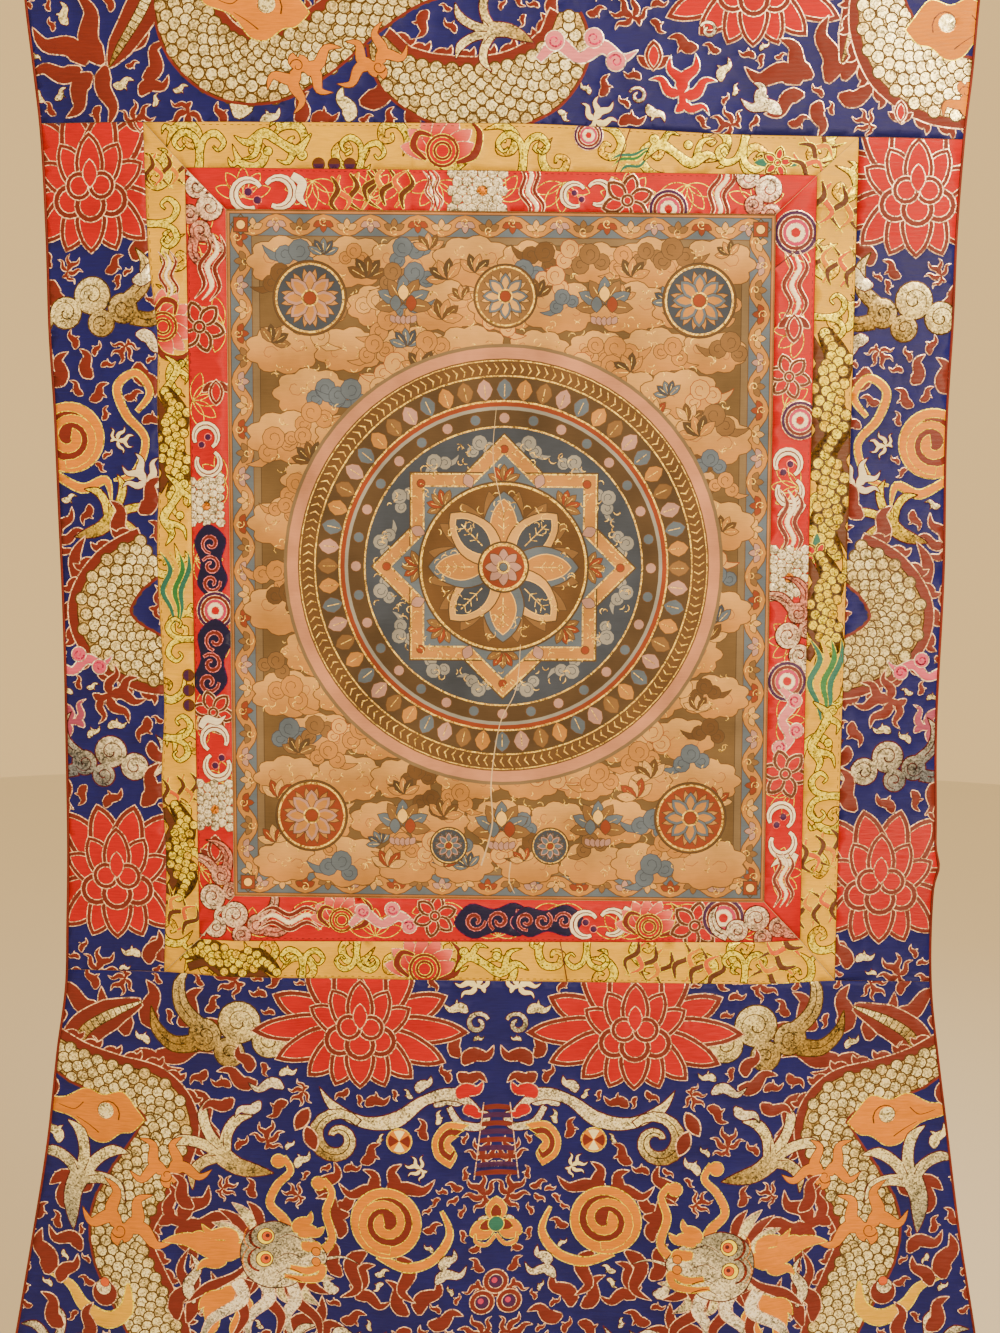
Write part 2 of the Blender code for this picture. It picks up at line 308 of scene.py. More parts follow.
ROYAL = srgb(12, 16, 106)
INDIGO = srgb(16, 14, 66)
RED = srgb(184, 0, 14)
ROSE = srgb(238, 120, 118)
MAROON = srgb(112, 36, 30)
DARK_MAROON = srgb(84, 28, 34)
ORANGE = srgb(216, 130, 0)
YELLOW = srgb(224, 174, 0)
LEMON = srgb(252, 236, 40)
OLIVE = srgb(78, 54, 12)
BROWN = srgb(92, 48, 28)
PURPLE = srgb(62, 22, 82)
MAGENTA = srgb(196, 46, 104)
PINK = srgb(226, 130, 150)
GREEN = srgb(44, 118, 70)
TEAL = srgb(40, 110, 104)
WHITE = srgb(255, 248, 230)
SILVER = srgb(236, 228, 200)
STEEL = srgb(150, 150, 138)
DEEP_GOLD = srgb(150, 124, 62)
PALE_THREAD = srgb(250, 206, 182)
SCALE_LIGHT = srgb(255, 246, 190)
SCALE_DARK = srgb(188, 164, 104)
EYE = srgb(214, 92, 30)
DEEP_RED = srgb(168, 4, 14)
DEEP_PINK = srgb(214, 90, 130)
PLUM = srgb(160, 70, 110)
SHELL_PINK = srgb(196, 128, 122)
BLUE_STEEL = srgb(104, 112, 132)
CELL_EDGE = srgb(128, 112, 84)
BACK_CLOTH = srgb(176, 150, 116)

# How a layer is woven: ground satin, raised silk, or metal thread.
GROUND, SILK, METAL = "ground", "silk", "metal"

Fade = namedtuple("Fade", "first second start end")
Layer = namedtuple("Layer", "points dye weave relief")


def dye_at(dye, x, down):
    """The colour of a layer at a place: plain, or fading from one colour to another."""
    if not isinstance(dye, Fade):
        return dye
    run_x, run_down = dye.end[0] - dye.start[0], dye.end[1] - dye.start[1]
    reach = run_x * run_x + run_down * run_down
    share = smooth(((x - dye.start[0]) * run_x + (down - dye.start[1]) * run_down) / reach)
    return tuple(blend(one, two, share) for one, two in zip(dye.first, dye.second))


def curve(points, closed=True, steps=6):
    """A smooth line through points; a point with a third value is a sharp corner."""
    count = len(points)
    spans = count if closed else count - 1
    line = []
    for i in range(spans):
        start, end = points[i], points[(i + 1) % count]
        before = points[i - 1] if closed or i else start
        after = points[(i + 2) % count] if closed or i + 2 < count else end
        grip_start = 0.0 if len(start) > 2 else 0.5
        grip_end = 0.0 if len(end) > 2 else 0.5
        for step in range(steps):
            t = step / steps
            square, cube = t * t, t * t * t
            line.append(tuple(
                (2 * cube - 3 * square + 1) * start[k]
                + (cube - 2 * square + t) * grip_start * (end[k] - before[k])
                + (3 * square - 2 * cube) * end[k]
                + (cube - square) * grip_end * (after[k] - start[k])
                for k in (0, 1)))
    if not closed:
        line.append(tuple(points[-1][:2]))
    return line


def sweep(points, steps=6):
    """A smooth open line through points."""
    return curve(points, False, steps)


def arc(x, y, radius, first, last, steps=12):
    """Points on a round arc, with angles in degrees clockwise from the right."""
    turns = [math.radians(blend(first, last, i / steps)) for i in range(steps + 1)]
    return [(x + radius * math.cos(turn), y + radius * math.sin(turn)) for turn in turns]


def circle(x, y, radius, steps=24):
    return arc(x, y, radius, 0, 360, steps)[:-1]


def spiral(x, y, outer, inner, first, turns, steps=14):
    """Points on a spiral that winds inwards from its outer radius."""
    count = max(int(steps * abs(turns)), 4)
    line = []
    for i in range(count + 1):
        share = i / count
        angle = math.radians(first + 360 * turns * share)
        radius = blend(outer, inner, share)
        line.append((x + radius * math.cos(angle), y + radius * math.sin(angle)))
    return line


def area_of(loop):
    return 0.5 * sum(
        loop[i - 1][0] * loop[i][1] - loop[i][0] * loop[i - 1][1] for i in range(len(loop)))


# A corner of an inset loop moves by no more than this many widths. Where the sides at a sharp tip
# nearly double back, the tip is drawn back along the side that leads to it.
MITRE_LIMIT = 2.5
DOUBLED_BACK = 0.2


def inset(loop, width):
    """The loop moved inwards by a width."""
    sign = 1.0 if area_of(loop) > 0 else -1.0
    moved = []
    count = len(loop)
    for i, (x, y) in enumerate(loop):
        ahead, behind = loop[(i + 1) % count], loop[i - 1]
        first = (x - behind[0], y - behind[1])
        second = (ahead[0] - x, ahead[1] - y)
        one, two = math.hypot(*first) or 1.0, math.hypot(*second) or 1.0
        normal_x = -(first[1] / one + second[1] / two)
        normal_y = first[0] / one + second[0] / two
        length = math.hypot(normal_x, normal_y)
        if length < DOUBLED_BACK:
            reach, normal_x, normal_y, length = width * MITRE_LIMIT, -first[0], -first[1], one
            moved.append((x + reach * normal_x / length, y + reach * normal_y / length))
            continue
        reach = min(width * 2.0 / length, width * MITRE_LIMIT)
        moved.append((x + sign * reach * normal_x / length, y + sign * reach * normal_y / length))
    return moved


def width_at(widths, share):
    place = share * (len(widths) - 1)
    index = min(int(place), len(widths) - 2)
    return blend(widths[index], widths[index + 1], place - index)


def ribbon(line, widths):
    """A closed outline round a line; widths are spread evenly from its start to its end."""
    sides = ([], [])
    count = len(line)
    for i, (x, y) in enumerate(line):
        ahead, behind = line[min(i + 1, count - 1)], line[max(i - 1, 0)]
        run = (ahead[0] - behind[0], ahead[1] - behind[1])
        length = math.hypot(*run) or 1.0
        half = width_at(widths, i / (count - 1)) / 2
        off_x, off_y = -run[1] / length * half, run[0] / length * half
        sides[0].append((x + off_x, y + off_y))
        sides[1].append((x - off_x, y - off_y))
    return sides[0] + sides[1][::-1]


class Pen:
    """Draws figures on a panel in millimetres, at a place, size and turn of their own."""

    def __init__(self, layers, matrix=None, size=1.0):
        self.layers = layers
        self.matrix = matrix or Matrix.Identity(3)
        self.size = size

    def at(self, x, y, size=1.0, turn=0.0, flip=False):
        """A pen for a figure placed in this pen's own measure; flip mirrors it first."""
        move = Matrix(((1, 0, x), (0, 1, y), (0, 0, 1)))
        spin = Matrix.Rotation(math.radians(turn), 3, "Z")
        grow = Matrix.Diagonal((-size if flip else size, size, 1))
        return Pen(self.layers, self.matrix @ move @ spin @ grow, self.size * size)

    def turned(self, turn):
        return self.at(0, 0, turn=turn)

    def place(self, point):
        return tuple((self.matrix @ Vector((point[0], point[1], 1.0)))[:2])

    def dye(self, colour):
        if not isinstance(colour, Fade):
            return colour
        return Fade(colour.first, colour.second, self.place(colour.start), self.place(colour.end))

    def loop(self, points, colour, weave=SILK, relief=1.0):
        self.layers.append(Layer([self.place(p) for p in points], self.dye(colour), weave, relief))

    def fill(self, points, colour, rim, rim_width=1.1, weave=SILK):
        """A filled figure with a couched thread round it."""
        if rim is None:
            self.loop(points, colour, weave)
            return
        self.loop(points, rim, METAL, 0.0)
        self.loop(inset(points, rim_width / self.size), colour, weave)

    def line(self, points, widths, colour, weave=METAL):
        widths = widths if isinstance(widths, tuple) else (widths, widths)
        widths = tuple(width / self.size for width in widths)
        self.loop(ribbon(points, widths), colour, weave, 0.0)


def inside(loop, places):
    """Which of many places lie inside a loop."""
    across, down = places[:, 0], places[:, 1]
    turns = np.zeros(len(places), dtype=int)
    for i, (end_x, end_y) in enumerate(loop):
        start_x, start_y = loop[i - 1]
        if start_y == end_y:
            continue
        level = (down >= min(start_y, end_y)) & (down < max(start_y, end_y))
        cross = start_x + (down - start_y) * (end_x - start_x) / (end_y - start_y)
        turns[level & (cross > across)] += 1 if end_y > start_y else -1
    return turns * area_of(loop) > 0


def own_faces(flat, faces, loops):
    """The number of the top loop over each face, or -1 where no loop lies."""
    spots = np.array([tuple(point) for point in flat])
    middles = spots[np.array(faces)].mean(axis=1)
    order = np.argsort(middles[:, 0])
    sorted_across = middles[order, 0]
    owners = np.full(len(faces), -1)
    for number, loop in enumerate(loops):
        corners = np.array(loop)
        low, high = corners.min(axis=0), corners.max(axis=0)
        first, last = np.searchsorted(sorted_across, (low[0], high[0]))
        near = order[first:last]
        near = near[(middles[near, 1] >= low[1]) & (middles[near, 1] <= high[1])]
        near = near[inside(loop, middles[near])]
        owners[near if number == 0 else near[owners[near] >= 0]] = number
    return owners


def seen_edges(faces, owners, looks):
    """The edges where the look of the cloth changes."""
    faces = np.array(faces)
    edges = np.sort(np.concatenate([faces[:, [0, 1]], faces[:, [1, 2]], faces[:, [2, 0]]]), axis=1)
    sides = np.tile(np.array(looks + [-1])[owners], 3)
    order = np.lexsort((edges[:, 1], edges[:, 0]))
    edges, sides = edges[order], sides[order]
    paired = np.all(edges[1:] == edges[:-1], axis=1)
    changed = np.flatnonzero(paired & (sides[1:] != sides[:-1]))
    alone = np.ones(len(edges), dtype=bool)
    alone[1:] &= ~paired
    alone[:-1] &= ~paired
    return edges[np.concatenate([changed, np.flatnonzero(alone & (sides >= 0))])]


def panel_faces(outline, layers, step):
    """Cut a panel into flat faces along every edge that shows; the top figure owns each face."""
    points, edges = [], []
    loops = [outline] + [layer.points for layer in layers]
    for loop in loops:
        first, count = len(points), len(loop)
        edges.extend((first + i, first + (i + 1) % count) for i in range(count))
        points.extend(Vector(point) for point in loop)
    flat, _, faces, _, _, _ = delaunay_2d_cdt(points, edges, [], 0, CUT_TOLERANCE)
    known = {}
    looks = [0] + [known.setdefault(layer[1:], len(known) + 1) for layer in layers]
    shown = seen_edges(faces, own_faces(flat, faces, loops), looks)
    used, numbers = np.unique(shown, return_inverse=True)
    points = [flat[index] for index in used]
    edges = [tuple(edge) for edge in numbers.reshape(-1, 2).tolist()]
    low_x, high_x = min(p[0] for p in outline), max(p[0] for p in outline)
    low_y, high_y = min(p[1] for p in outline), max(p[1] for p in outline)
    columns, rows = int((high_x - low_x) / step), int((high_y - low_y) / step)
    for i in range(1, columns + 1):
        for j in range(1, rows + 1):
            shift = 0.5 if j % 2 else 0.0
            points.append(Vector((low_x + (i - shift) * (high_x - low_x) / (columns + 1),
                                  low_y + j * (high_y - low_y) / (rows + 1))))
    flat, _, faces, _, _, _ = delaunay_2d_cdt(points, edges, [], 0, CUT_TOLERANCE)
    owners = own_faces(flat, faces, loops)
    kept = [(face, owner - 1) for face, owner in zip(faces, owners.tolist()) if owner >= 0]
    used = sorted({index for face, _ in kept for index in face})
    renumber = {old: new for new, old in enumerate(used)}
    return ([tuple(flat[old]) for old in used],
            [(tuple(renumber[i] for i in face), owner) for face, owner in kept])


def rim_of(faces):
    """The outer border of a set of faces, as one loop of vertices."""
    edges = {(face[i - 1], face[i]) for face in faces for i in range(len(face))}
    follow = {}
    for start, end in edges:
        if (end, start) not in edges:
            follow.setdefault(start, []).append(end)
    loops = []
    while follow:
        here, loop = min(follow), []
        while here in follow:
            loop.append(here)
            ahead = follow[here].pop()
            if not follow[here]:
                del follow[here]
            here = ahead
        loops.append(loop)
    return max(loops, key=len)


def search_tree(points):
    """Finds the nearest of many flat points."""
    tree = KDTree(len(points))
    for i, point in enumerate(points):
        tree.insert((*point, 0.0), i)
    tree.balance()
    return tree


def add_object(name, data):
    made = bpy.data.objects.new(name, data)
    bpy.context.scene.collection.objects.link(made)
    return made


def hang(point, recess, forward):
    """Where a flat place in millimetres hangs in the room."""
    x, down = point[0] * MM, point[1] * MM
    return (x, cloth_depth(x, down) + recess - forward, -down)


def make_cloth(name, outline, layers, ground, finishes, node, recess=0.0,
               thickness=CLOTH_THICKNESS, step=FLAT_STEP, lining=None):
    """A hanging sheet: figured front, plain back and a thin rim between them."""
    flat, owned = panel_faces(outline, layers, step / MM)
    relief = [0.0] * len(flat)
    for face, owner in owned:
        lift = layers[owner].relief * FIGURE_RELIEF if owner >= 0 else 0.0
        for index in face:
            relief[index] = max(relief[index], lift)
    border = rim_of([face for face, _ in owned])
    for index in border:
        relief[index] = 0.0
    back_outline = [flat[index] for index in border]
    back_flat, back_faces = panel_faces(back_outline, [], BACK_STEP / MM)
    corners = [hang(point, recess, forward) for point, forward in zip(flat, relief)]
    corners += [hang(point, recess, -thickness) for point in back_flat]
    first_back = len(flat)
    places = search_tree(back_flat)
    back_border = [first_back + places.find((*flat[index], 0.0))[1] for index in border]
    faces = [tuple(reversed(face)) for face, _ in owned]
    slots = [0 if owner < 0 else (GROUND, SILK, METAL).index(layers[owner].weave)
             for _, owner in owned]
    front_count = len(faces)
    faces += [tuple(first_back + index for index in face) for face, _ in back_faces]
    for i, index in enumerate(border):
        ahead = (i + 1) % len(border)
        faces.append((index, border[ahead], back_border[ahead], back_border[i]))
    slots += [3] * (len(faces) - front_count)
    mesh = bpy.data.meshes.new(name)
    mesh.from_pydata(corners, [], faces)
    colours = mesh.color_attributes.new("dye", "FLOAT_COLOR", "CORNER")
    values = []
    for face, owner in owned:
        dye = ground if owner < 0 else layers[owner].dye
        for index in reversed(face):
            values.extend((*dye_at(dye, *flat[index]), 1.0))
    back_dye = lining or ground
    for face in faces[front_count:]:
        values.extend((*back_dye, 1.0) * len(face))
    colours.data.foreach_set("color", values)
    for finish in finishes:
        mesh.materials.append(finish)
    mesh.polygons.foreach_set("material_index", slots)
    mesh.validate()
    mesh.shade_smooth()
    piece = add_object(name, mesh)
    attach(piece, "root")
    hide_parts(node)
    return piece


def node_group(name, inputs, outputs):
    """An empty shader group with its sockets, and its input and output nodes."""
    group = bpy.data.node_groups.new(name, "ShaderNodeTree")
    for socket, kind, value in inputs:
        made = group.interface.new_socket(socket, in_out="INPUT", socket_type=kind)
        made.default_value = value
    for socket, kind in outputs:
        group.interface.new_socket(socket, in_out="OUTPUT", socket_type=kind)
    return group, group.nodes.new("NodeGroupInput"), group.nodes.new("NodeGroupOutput")


def add_node(tree, kind, links=(), **settings):
    """A node with its settings, and links given as (input, output socket or value)."""
    node = tree.nodes.new(kind)
    for key, value in settings.items():
        setattr(node, key, value)
    for socket, source in links:
        if isinstance(source, bpy.types.NodeSocket):
            tree.links.new(source, node.inputs[socket])
        else:
            node.inputs[socket].default_value = source
    return node


def compute(tree, operation, first, second=0.0, kind="ShaderNodeMath"):
    return add_node(tree, kind, ((0, first), (1, second)), operation=operation).outputs[0]


def rescale(tree, value, low, high, first, last):
    return add_node(tree, "ShaderNodeMapRange", (
        (0, value), (1, low), (2, high), (3, first), (4, last))).outputs[0]


def spread_noise(tree, noise, first, last):
    """Noise stretched from the range that it mostly keeps to, to a range of values."""
    return rescale(tree, noise.outputs["Fac"], 0.3, 0.7, first, last)


def make_weave_group():
    """Thread lines across the cloth, slubs along them and uneven dye."""
    group, given, result = node_group("thread weave", (
        ("Colour", "NodeSocketColor", (0.5, 0.5, 0.5, 1.0)),
        ("Thread", "NodeSocketFloat", 0.0007),
        ("Slant", "NodeSocketFloat", 0.0),
        ("Contrast", "NodeSocketFloat", 0.12),
        ("Mottle", "NodeSocketFloat", 0.15),
    ), (("Colour", "NodeSocketColor"), ("Height", "NodeSocketFloat")))
    place = add_node(group, "ShaderNodeTexCoord").outputs["Object"]
    parts = add_node(group, "ShaderNodeSeparateXYZ", (("Vector", place),)).outputs
    tilt = compute(group, "MULTIPLY", parts["X"], given.outputs["Slant"])
    across = compute(group, "ADD", parts["Z"], tilt)
    pitch = compute(group, "DIVIDE", math.tau, given.outputs["Thread"])
    wave = compute(group, "SINE", compute(group, "MULTIPLY", across, pitch))
    stretch = compute(group, "MULTIPLY", place, (90.0, 90.0, 900.0), "ShaderNodeVectorMath")
    slub = add_node(group, "ShaderNodeTexNoise", (("Vector", stretch), ("Scale", 1.0), ("Detail", 2.0)))
    patch = add_node(group, "ShaderNodeTexNoise", (("Vector", place), ("Scale", 26.0), ("Detail", 3.0)))
    thread = compute(group, "MULTIPLY", wave, slub.outputs["Fac"])
    streak = spread_noise(group, slub, -1.0, 1.0)
    blotch = spread_noise(group, patch, -1.0, 1.0)
    fine = compute(group, "MULTIPLY", compute(group, "ADD", thread, streak), given.outputs["Contrast"])
    broad = compute(group, "MULTIPLY", blotch, given.outputs["Mottle"])
    shade = compute(group, "ADD", compute(group, "ADD", fine, broad), 1.0)
    colour = compute(group, "MULTIPLY", given.outputs["Colour"], shade, "ShaderNodeVectorMath")
    group.links.new(colour, result.inputs["Colour"])
    group.links.new(thread, result.inputs["Height"])
    return group


def make_painted_glint_group():
    """Flat metal threads whose colour carries painted glints and painted shade, stitch by stitch."""
    group, given, result = node_group("metal thread painted glints", (
        ("Colour", "NodeSocketColor", (0.8, 0.7, 0.4, 1.0)),
        ("Stitch", "NodeSocketFloat", 900.0),
        ("Spread", "NodeSocketFloat", 0.85),
    ), (("Colour", "NodeSocketColor"), ("Height", "NodeSocketFloat"), ("Roughness", "NodeSocketFloat")))
    place = add_node(group, "ShaderNodeTexCoord").outputs["Object"]
    cells = add_node(group, "ShaderNodeTexVoronoi", (
        ("Vector", place), ("Scale", given.outputs["Stitch"])))
    parts = add_node(group, "ShaderNodeSeparateColor", (("Color", cells.outputs["Color"]),)).outputs
    clumps = add_node(group, "ShaderNodeTexNoise", (("Vector", place), ("Scale", 120.0), ("Detail", 2.0)))
    # Painted glints and painted shade: the colour swings lighter and darker by stitch and by clump.
    bright = compute(group, "ADD", parts[0], clumps.outputs["Fac"])
    painted_glint_swing = compute(group, "MULTIPLY", rescale(group, bright, 0.45, 1.55, -1.0, 1.0), given.outputs["Spread"])
    shade = compute(group, "ADD", painted_glint_swing, 1.0)
    colour = compute(group, "MULTIPLY", given.outputs["Colour"], shade, "ShaderNodeVectorMath")
    rough = rescale(group, parts[1], 0.0, 1.0, 0.28, 0.55)
    group.links.new(colour, result.inputs["Colour"])
    group.links.new(parts[2], result.inputs["Height"])
    group.links.new(rough, result.inputs["Roughness"])
    return group


WEAVE = make_weave_group()
PAINTED_GLINTS = make_painted_glint_group()


def new_material(name):
    material = bpy.data.materials.new(name)
    material.use_nodes = True
    tree = material.node_tree
    return material, tree, tree.nodes["Principled BSDF"]


def use_group(tree, group, **values):
    node = tree.nodes.new("ShaderNodeGroup")
    node.node_tree = group
    for key, value in values.items():
        node.inputs[key].default_value = value
    return node


THREAD_RELIEF = 0.0003
STITCH_RELIEF = 0.0004
SOFT_SHINE = 0.25


def drawn_dye(tree, threads):
    """The threads take the colour that the panel's drawing gives."""
    dye = add_node(tree, "ShaderNodeAttribute", attribute_name="dye")
    tree.links.new(dye.outputs["Color"], threads.inputs["Colour"])


def lay_threads(tree, shader, threads, strength, distance):
    """The threads give a material its colour and its fine relief."""
    relief = add_node(tree, "ShaderNodeBump", (
        ("Height", threads.outputs["Height"]), ("Strength", strength), ("Distance", distance)))
    tree.links.new(threads.outputs["Colour"], shader.inputs["Base Color"])
    tree.links.new(relief.outputs["Normal"], shader.inputs["Normal"])


def dyed_cloth(name, roughness, colour=None, bump=0.4, **weave):
    """Woven thread in the colour that the panel's drawing gives, or in a colour of its own."""
    material, tree, shader = new_material(name)
    threads = use_group(tree, WEAVE, **weave)
    if colour is None:
        drawn_dye(tree, threads)
    else:
        threads.inputs["Colour"].default_value = (*colour, 1.0)
    lay_threads(tree, shader, threads, bump, THREAD_RELIEF)
    shader.inputs["Roughness"].default_value = roughness
    shader.inputs["Specular IOR Level"].default_value = SOFT_SHINE
    return material


def metal_thread(name, metallic, **painted_glints):
    material, tree, shader = new_material(name)
    threads = use_group(tree, PAINTED_GLINTS, **painted_glints)
    drawn_dye(tree, threads)
    lay_threads(tree, shader, threads, 0.5, STITCH_RELIEF)
    tree.links.new(threads.outputs["Roughness"], shader.inputs["Roughness"])
    shader.inputs["Metallic"].default_value = metallic
    return material


SATIN = dyed_cloth("blue satin ground", 0.5, Thread=0.0006, Slant=0.35, Contrast=0.16, Mottle=0.12)
RED_SATIN = dyed_cloth("red satin ground", 0.45, Thread=0.0006, Slant=0.35, Contrast=0.12, Mottle=0.10)
YELLOW_SATIN = dyed_cloth("yellow satin ground", 0.42, Thread=0.0006, Slant=0.35, Contrast=0.12, Mottle=0.14)
FLOSS = dyed_cloth("silk figure thread", 0.42, bump=0.6, Thread=0.0009, Contrast=0.14, Mottle=0.10)
# The metal thread's colour carries painted glints and painted shade, stitch by stitch.
TINSEL = metal_thread("metal figure thread", 0.65, Stitch=900.0, Spread=0.85)
LINING = dyed_cloth("plain cotton back", 0.85, Thread=0.0008, Contrast=0.10, Mottle=0.2)
EDGING = dyed_cloth("maroon binding cloth", 0.7, colour=MAROON, Thread=0.0007, Mottle=0.25)
PAINT = dyed_cloth("mineral paint on cotton", 0.75, Thread=0.0005, Contrast=0.06, Mottle=0.25)

# The finishes of a sheet: its ground, silk figures, metal figures and back.
BROCADE = (SATIN, FLOSS, TINSEL, LINING)
RED_SILK = (RED_SATIN, FLOSS, TINSEL, LINING)
YELLOW_SILK = (YELLOW_SATIN, FLOSS, TINSEL, LINING)
PAINTED = (PAINT, PAINT, TINSEL, LINING)
BINDING = (EDGING,) * 4


def spun(points, x, y, turn):
    """Points turned clockwise about the origin, then moved."""
    cosine, sine = math.cos(math.radians(turn)), math.sin(math.radians(turn))
    return [(x + px * cosine - py * sine, y + px * sine + py * cosine) for px, py in points]


def around(pen, count, first=0.0):
    """Pens turned evenly round a middle."""
    return [pen.turned(360 / count * i + first) for i in range(count)]


def stroke(pen, points, widths, colour, rim, rim_width=0.9, weave=SILK):
    """A tapering band along a smooth line, with widths in the pen's own measure."""
    band(pen, sweep(points), widths, colour, rim, rim_width, weave)


def join_up(pen, outlines, colour, rim, rim_width, weave=SILK):
    """Figures that run into each other inside one couched thread."""
    for outline in outlines:
        pen.loop(outline, rim, METAL, 0.0)
    for outline in outlines:
        pen.loop(inset(outline, rim_width / pen.size), colour, weave)


def lens(length, width):
    """A petal outline with its foot at the origin and its tip straight up."""
    half = width / 2
    return curve([(0, 0, 1), (-half * 0.7, -length * 0.22), (-half, -length * 0.52),
                  (-half * 0.62, -length * 0.84), (0, -length, 1), (half * 0.62, -length * 0.84),
                  (half, -length * 0.52), (half * 0.7, -length * 0.22)], steps=3)


def tongue(length, width, bend):
    """A wavy flame outline from the origin up to a sharp tip."""
    line = sweep([(0, 0), (bend, -length * 0.35), (-bend * 0.6, -length * 0.7),
                  (bend * 0.7, -length)], 5)
    return ribbon(line, (width * 0.25, width, width * 0.95, width * 0.75, width * 0.45, 0.4))


def flames(pen, tongues, colour=MAROON, rim=PALE_THREAD, rim_width=0.75, weave=SILK):
    """Tongues of flame, each given by its foot, turn, length, width and bend."""
    join_up(pen, [spun(tongue(length * 1.08, width * 1.3, bend), x, y, turn)
                  for x, y, turn, length, width, bend in tongues], colour, rim, rim_width, weave)


def silver_flames(pen, tongues):
    flames(pen, tongues, SILVER, DARK_MAROON, weave=METAL)


def fire_branch(pen, colour=MAROON, rim=PALE_THREAD, rim_width=0.75):
    """A stem that parts into five tongues of flame."""
    flames(pen, ((0, 18, 4, 24, 7, 3), (0, 0, -84, 30, 8, -4), (0, 2, -40, 34, 9, 4),
                 (0, 2, 2, 36, 10, -4), (0, 2, 44, 32, 9, 4), (2, 6, 92, 26, 7, 4)), colour, rim,
           rim_width)


def petal(pen, length, width):
    """A red petal inside a maroon one, each with a bright thread round it."""
    pen.fill(lens(length, width), MAROON, PALE_THREAD, 0.7)
    core = pen.at(0, -length * 0.09)
    shade = Fade(RED, DEEP_RED, (0, -length * 0.8), (0, 0))
    core.fill(lens(length * 0.83, width * 0.72), shade, PALE_THREAD, 0.6)


def lotus(pen):
    """A lotus seen from the side: a crown above, a skirt of hanging petals below."""
    for y, width, pairs, middle in (
            (2, 27, ((66, 70), (38, 64), (14, 58)), ()),
            (-2, 24, ((92, 80), (112, 68), (134, 54), (157, 48)), ((180, 46),)),
            (6, 22, ((58, 44), (30, 42)), ((0, 44),))):
        sides = [(side * turn, length) for turn, length in pairs for side in (-1, 1)]
        for turn, length in (*sides, *middle):
            petal(pen.at(0, y, turn=turn), length, width)
    for x, y, radius in ((-15, 8, 12), (15, 8, 12), (0, 11, 12), (-8, -2, 10), (8, -2, 10)):
        pen.fill(circle(x, y, radius, 16), MAROON, PALE_THREAD, 0.8)
        pen.fill(circle(x, y, radius * 0.68, 14), RED, PALE_THREAD, 0.7)
    pen.fill(lens(20, 11), RED, PALE_THREAD, 0.8)


def bud(pen):
    """A small pointed bud on two leaves."""
    for turn in (-52, 52):
        pen.at(0, 6, turn=turn).fill(lens(17, 8), MAROON, PALE_THREAD, 0.7)
    pen.at(0, 8).fill(lens(25, 15), MAROON, PALE_THREAD, 0.8)
    pen.at(0, 5).fill(lens(18, 9), RED, PALE_THREAD, 0.6)


def cloud(pen, light=SCALE_LIGHT, dark=DEEP_GOLD, rim=OLIVE):
    """Curled lobes and pointed tails, shaded from light to dark."""
    lobes = ((-25, 9, 13, 200), (-4, -4, 15, 150), (20, 6, 12, 20), (3, 17, 11, 90))
    tails = (((-34, 16), (-48, 8), (-52, -8), (-44, -20)), ((24, 0), (36, -12), (38, -28), (30, -40)),
             ((26, 12), (42, 14), (54, 4), (58, -12)))
    shade = Fade(light, dark, (-22, -26), (22, 24))
    outlines = [ribbon(sweep(tail, 5), (13, 12, 9, 0.5)) for tail in tails]
    outlines += [circle(x, y, radius, 18) for x, y, radius, _ in lobes]
    join_up(pen, outlines, shade, rim, 1.0, METAL)
    for x, y, radius, first in lobes:
        pen.line(spiral(x, y, radius * 0.7, radius * 0.16, first, 1.1), (0.5, 1.2), rim)
    for tail in tails:
        pen.line(sweep(tail, 4)[2:-3], (1.0, 0.5), rim)


def silver_cloud(pen):
    cloud(pen, SILVER, STEEL, DARK_MAROON)


def tight_curl(pen):
    """A small cloud made of one tight curl."""
    shade = Fade(SILVER, STEEL, (-6, -8), (6, 8))
    pen.fill(ribbon(spiral(0, 0, 8, 2, 200, 1.2), (3.4, 4.4, 3.0)), shade, DARK_MAROON, 0.6, METAL)


def band(pen, line, widths, colour, rim=None, rim_width=0.9, weave=SILK):
    """A band of changing width along a finished line."""
    pen.fill(ribbon(line, widths), colour, rim, rim_width, weave)


def walk(line, spacing):
    """Places at even spacing along a line: point, direction and share of the length."""
    lengths = [math.hypot(line[i + 1][0] - line[i][0], line[i + 1][1] - line[i][1])
               for i in range(len(line) - 1)]
    total = sum(lengths)
    places, travelled, target = [], 0.0, spacing / 2
    for i, length in enumerate(lengths):
        while target <= travelled + length and length > 0:
            share = (target - travelled) / length
            point = tuple(blend(line[i][k], line[i + 1][k], share) for k in (0, 1))
            heading = ((line[i + 1][0] - line[i][0]) / length, (line[i + 1][1] - line[i][1]) / length)
            places.append((point, heading, target / total))
            target += spacing
        travelled += length
    return places


def beside(point, heading, across):
    """A point moved sideways from a line."""
    return point[0] - heading[1] * across, point[1] + heading[0] * across


def scales(pen, line, widths, size=1.0, bright=SCALE_LIGHT, dim=SCALE_DARK):
    """Overlapping fish scales that fill a band, each edged in olive."""
    for row, (point, heading, share) in enumerate(walk(line, 6.4 * size)):
        width = width_at(widths, share) - 5.0 * size
        count = max(int(width / (8.2 * size)), 1)
        shift = 0.5 if row % 2 else 0.0
        for i in range(count + 1 - row % 2):
            across = (i + shift) / count * width - width / 2 if count > 1 else 0.0
            x, y = beside(point, heading, across)
            tone = ((row * 7 + i * 11) % 9) / 9
            edge = (abs(across) / (width / 2 + 1)) ** 2
            light = tuple(blend(a, b, 0.55 * tone + 0.3 * edge) for a, b in zip(bright, dim))
            pen.loop(circle(x, y, 5.3 * size, 10), OLIVE, SILK, 0.0)
            pen.loop(circle(x, y, 4.2 * size, 10), light, METAL)


